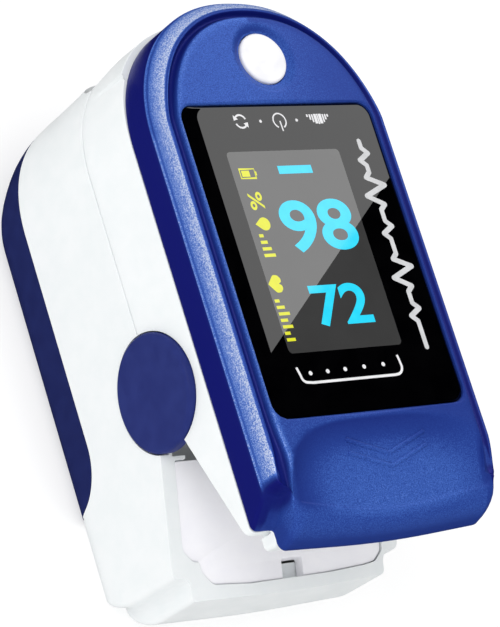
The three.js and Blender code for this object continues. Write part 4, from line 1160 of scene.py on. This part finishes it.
FLOOR = simple("floor", (186, 186, 186), (190, 190, 190), 8, (0.9, 0.95), 0.05)
for node in FLOOR.node_tree.nodes:
    if node.type == "BSDF_PRINCIPLED":
        node.inputs["Emission Color"].default_value = (1, 1, 1, 1)
        node.inputs["Emission Strength"].default_value = 0.55
floor = stage_mesh("floor", [(-3, -3, -0.00002), (3, -3, -0.00002), (3, 3, -0.00002), (-3, 3, -0.00002)], [(0, 1, 2, 3)], FLOOR)
floor.visible_glossy = False

scene = bpy.context.scene
scene.view_settings.view_transform = "Standard"
scene.view_settings.look = "None"
scene.view_settings.exposure = 0.0
scene.view_settings.gamma = 1.0

world = bpy.data.worlds.new("studio")
scene.world = world
world.use_nodes = True
bg = world.node_tree.nodes["Background"]
bg.inputs[0].default_value = (1, 1, 1, 1)
bg.inputs[1].default_value = 0.745
world.cycles_visibility.glossy = False

CAM = Vector((-0.197905, -0.088745, 0.252225))
cam_data = bpy.data.cameras.new("camera")
cam = bpy.data.objects.new("camera", cam_data)
scene.collection.objects.link(cam)
X, Y, Z = Vector((0.780044, -0.288377, 0.555310)), Vector((0.057488, 0.916743, 0.395319)), Vector((-0.623078, -0.276443, 0.731678))
rot = Matrix((X, Y, Z)).transposed()
cam.matrix_world = Matrix.Translation(CAM) @ rot.to_4x4()
cam_data.lens = 173.9338
cam_data.sensor_width = 36
cam_data.clip_start = 0.005
cam_data.clip_end = 20
scene.camera = cam


def mirror_dir(p, n=Vector((0, 0, 1))):
    v = (CAM - p).normalized()
    return (2 * n.dot(v) * n - v).normalized()


def emitter(name, verts, strength, tint=(1, 1, 1)):
    m = bpy.data.materials.new(name)
    m.use_nodes = True
    nt = m.node_tree
    nt.nodes.clear()
    o = nt.nodes.new("ShaderNodeOutputMaterial")
    e = nt.nodes.new("ShaderNodeEmission")
    e.inputs[0].default_value = (*tint, 1)
    e.inputs[1].default_value = strength
    nt.links.new(e.outputs[0], o.inputs[0])
    ob = stage_mesh(name, [tuple(v) for v in verts], [tuple(range(len(verts)))], m)
    ob.visible_camera = False
    ob.visible_shadow = False
    return ob


# softbox whose lower edge is mirrored as a diagonal on the window
D = 0.6
p1, p2 = Vector((-0.0114, -0.01104, 0.0336)), Vector((0.01254, 0.00819, 0.0336))
e1, e2 = p1 + D * mirror_dir(p1), p2 + D * mirror_dir(p2)
far = Vector((-0.0126, 0.0300, 0.0336))
e3 = far + D * mirror_dir(far)
along = (e2 - e1).normalized()
across = (e3 - e1) - along * (e3 - e1).dot(along)
across.normalize()
g1, g2 = Vector((-0.0111, -0.0108, 0.0336)), Vector((-0.0111, 0.0170, 0.0336))
b1, b2 = g1 + D * mirror_dir(g1), g2 + D * mirror_dir(g2)
glare = emitter("glare_box", [b1, e2 + along * 0.30, e2 + along * 0.30 + across * 0.40, b1 + (b2 - b1).normalized() * 0.5], 2.3)
glare.visible_diffuse = False


def area(name, loc, target, size, power, spread=180, glossy=True, colour=(1, 1, 1)):
    ld = bpy.data.lights.new(name, "AREA")
    ld.shape, ld.size, ld.size_y, ld.energy = "RECTANGLE", size[0], size[1], power
    ld.color = colour
    ob = bpy.data.objects.new(name, ld)
    scene.collection.objects.link(ob)
    ob.location = loc
    ob.rotation_euler = (Vector(target) - Vector(loc)).to_track_quat("-Z", "Y").to_euler()
    ob.visible_glossy = glossy
    ob.visible_camera = False
    return ob


area("key", (-0.55, 0.15, 0.75), (0, 0, 0.02), (0.5, 0.5), 2.5)
area("end", (-0.20, -0.62, 0.26), (0, -0.02, 0.015), (0.4, 0.3), 0.55, glossy=False)
area("top", (0.0, 0.1, 1.0), (0, 0, 0.02), (0.9, 0.9), 1.5, glossy=False)
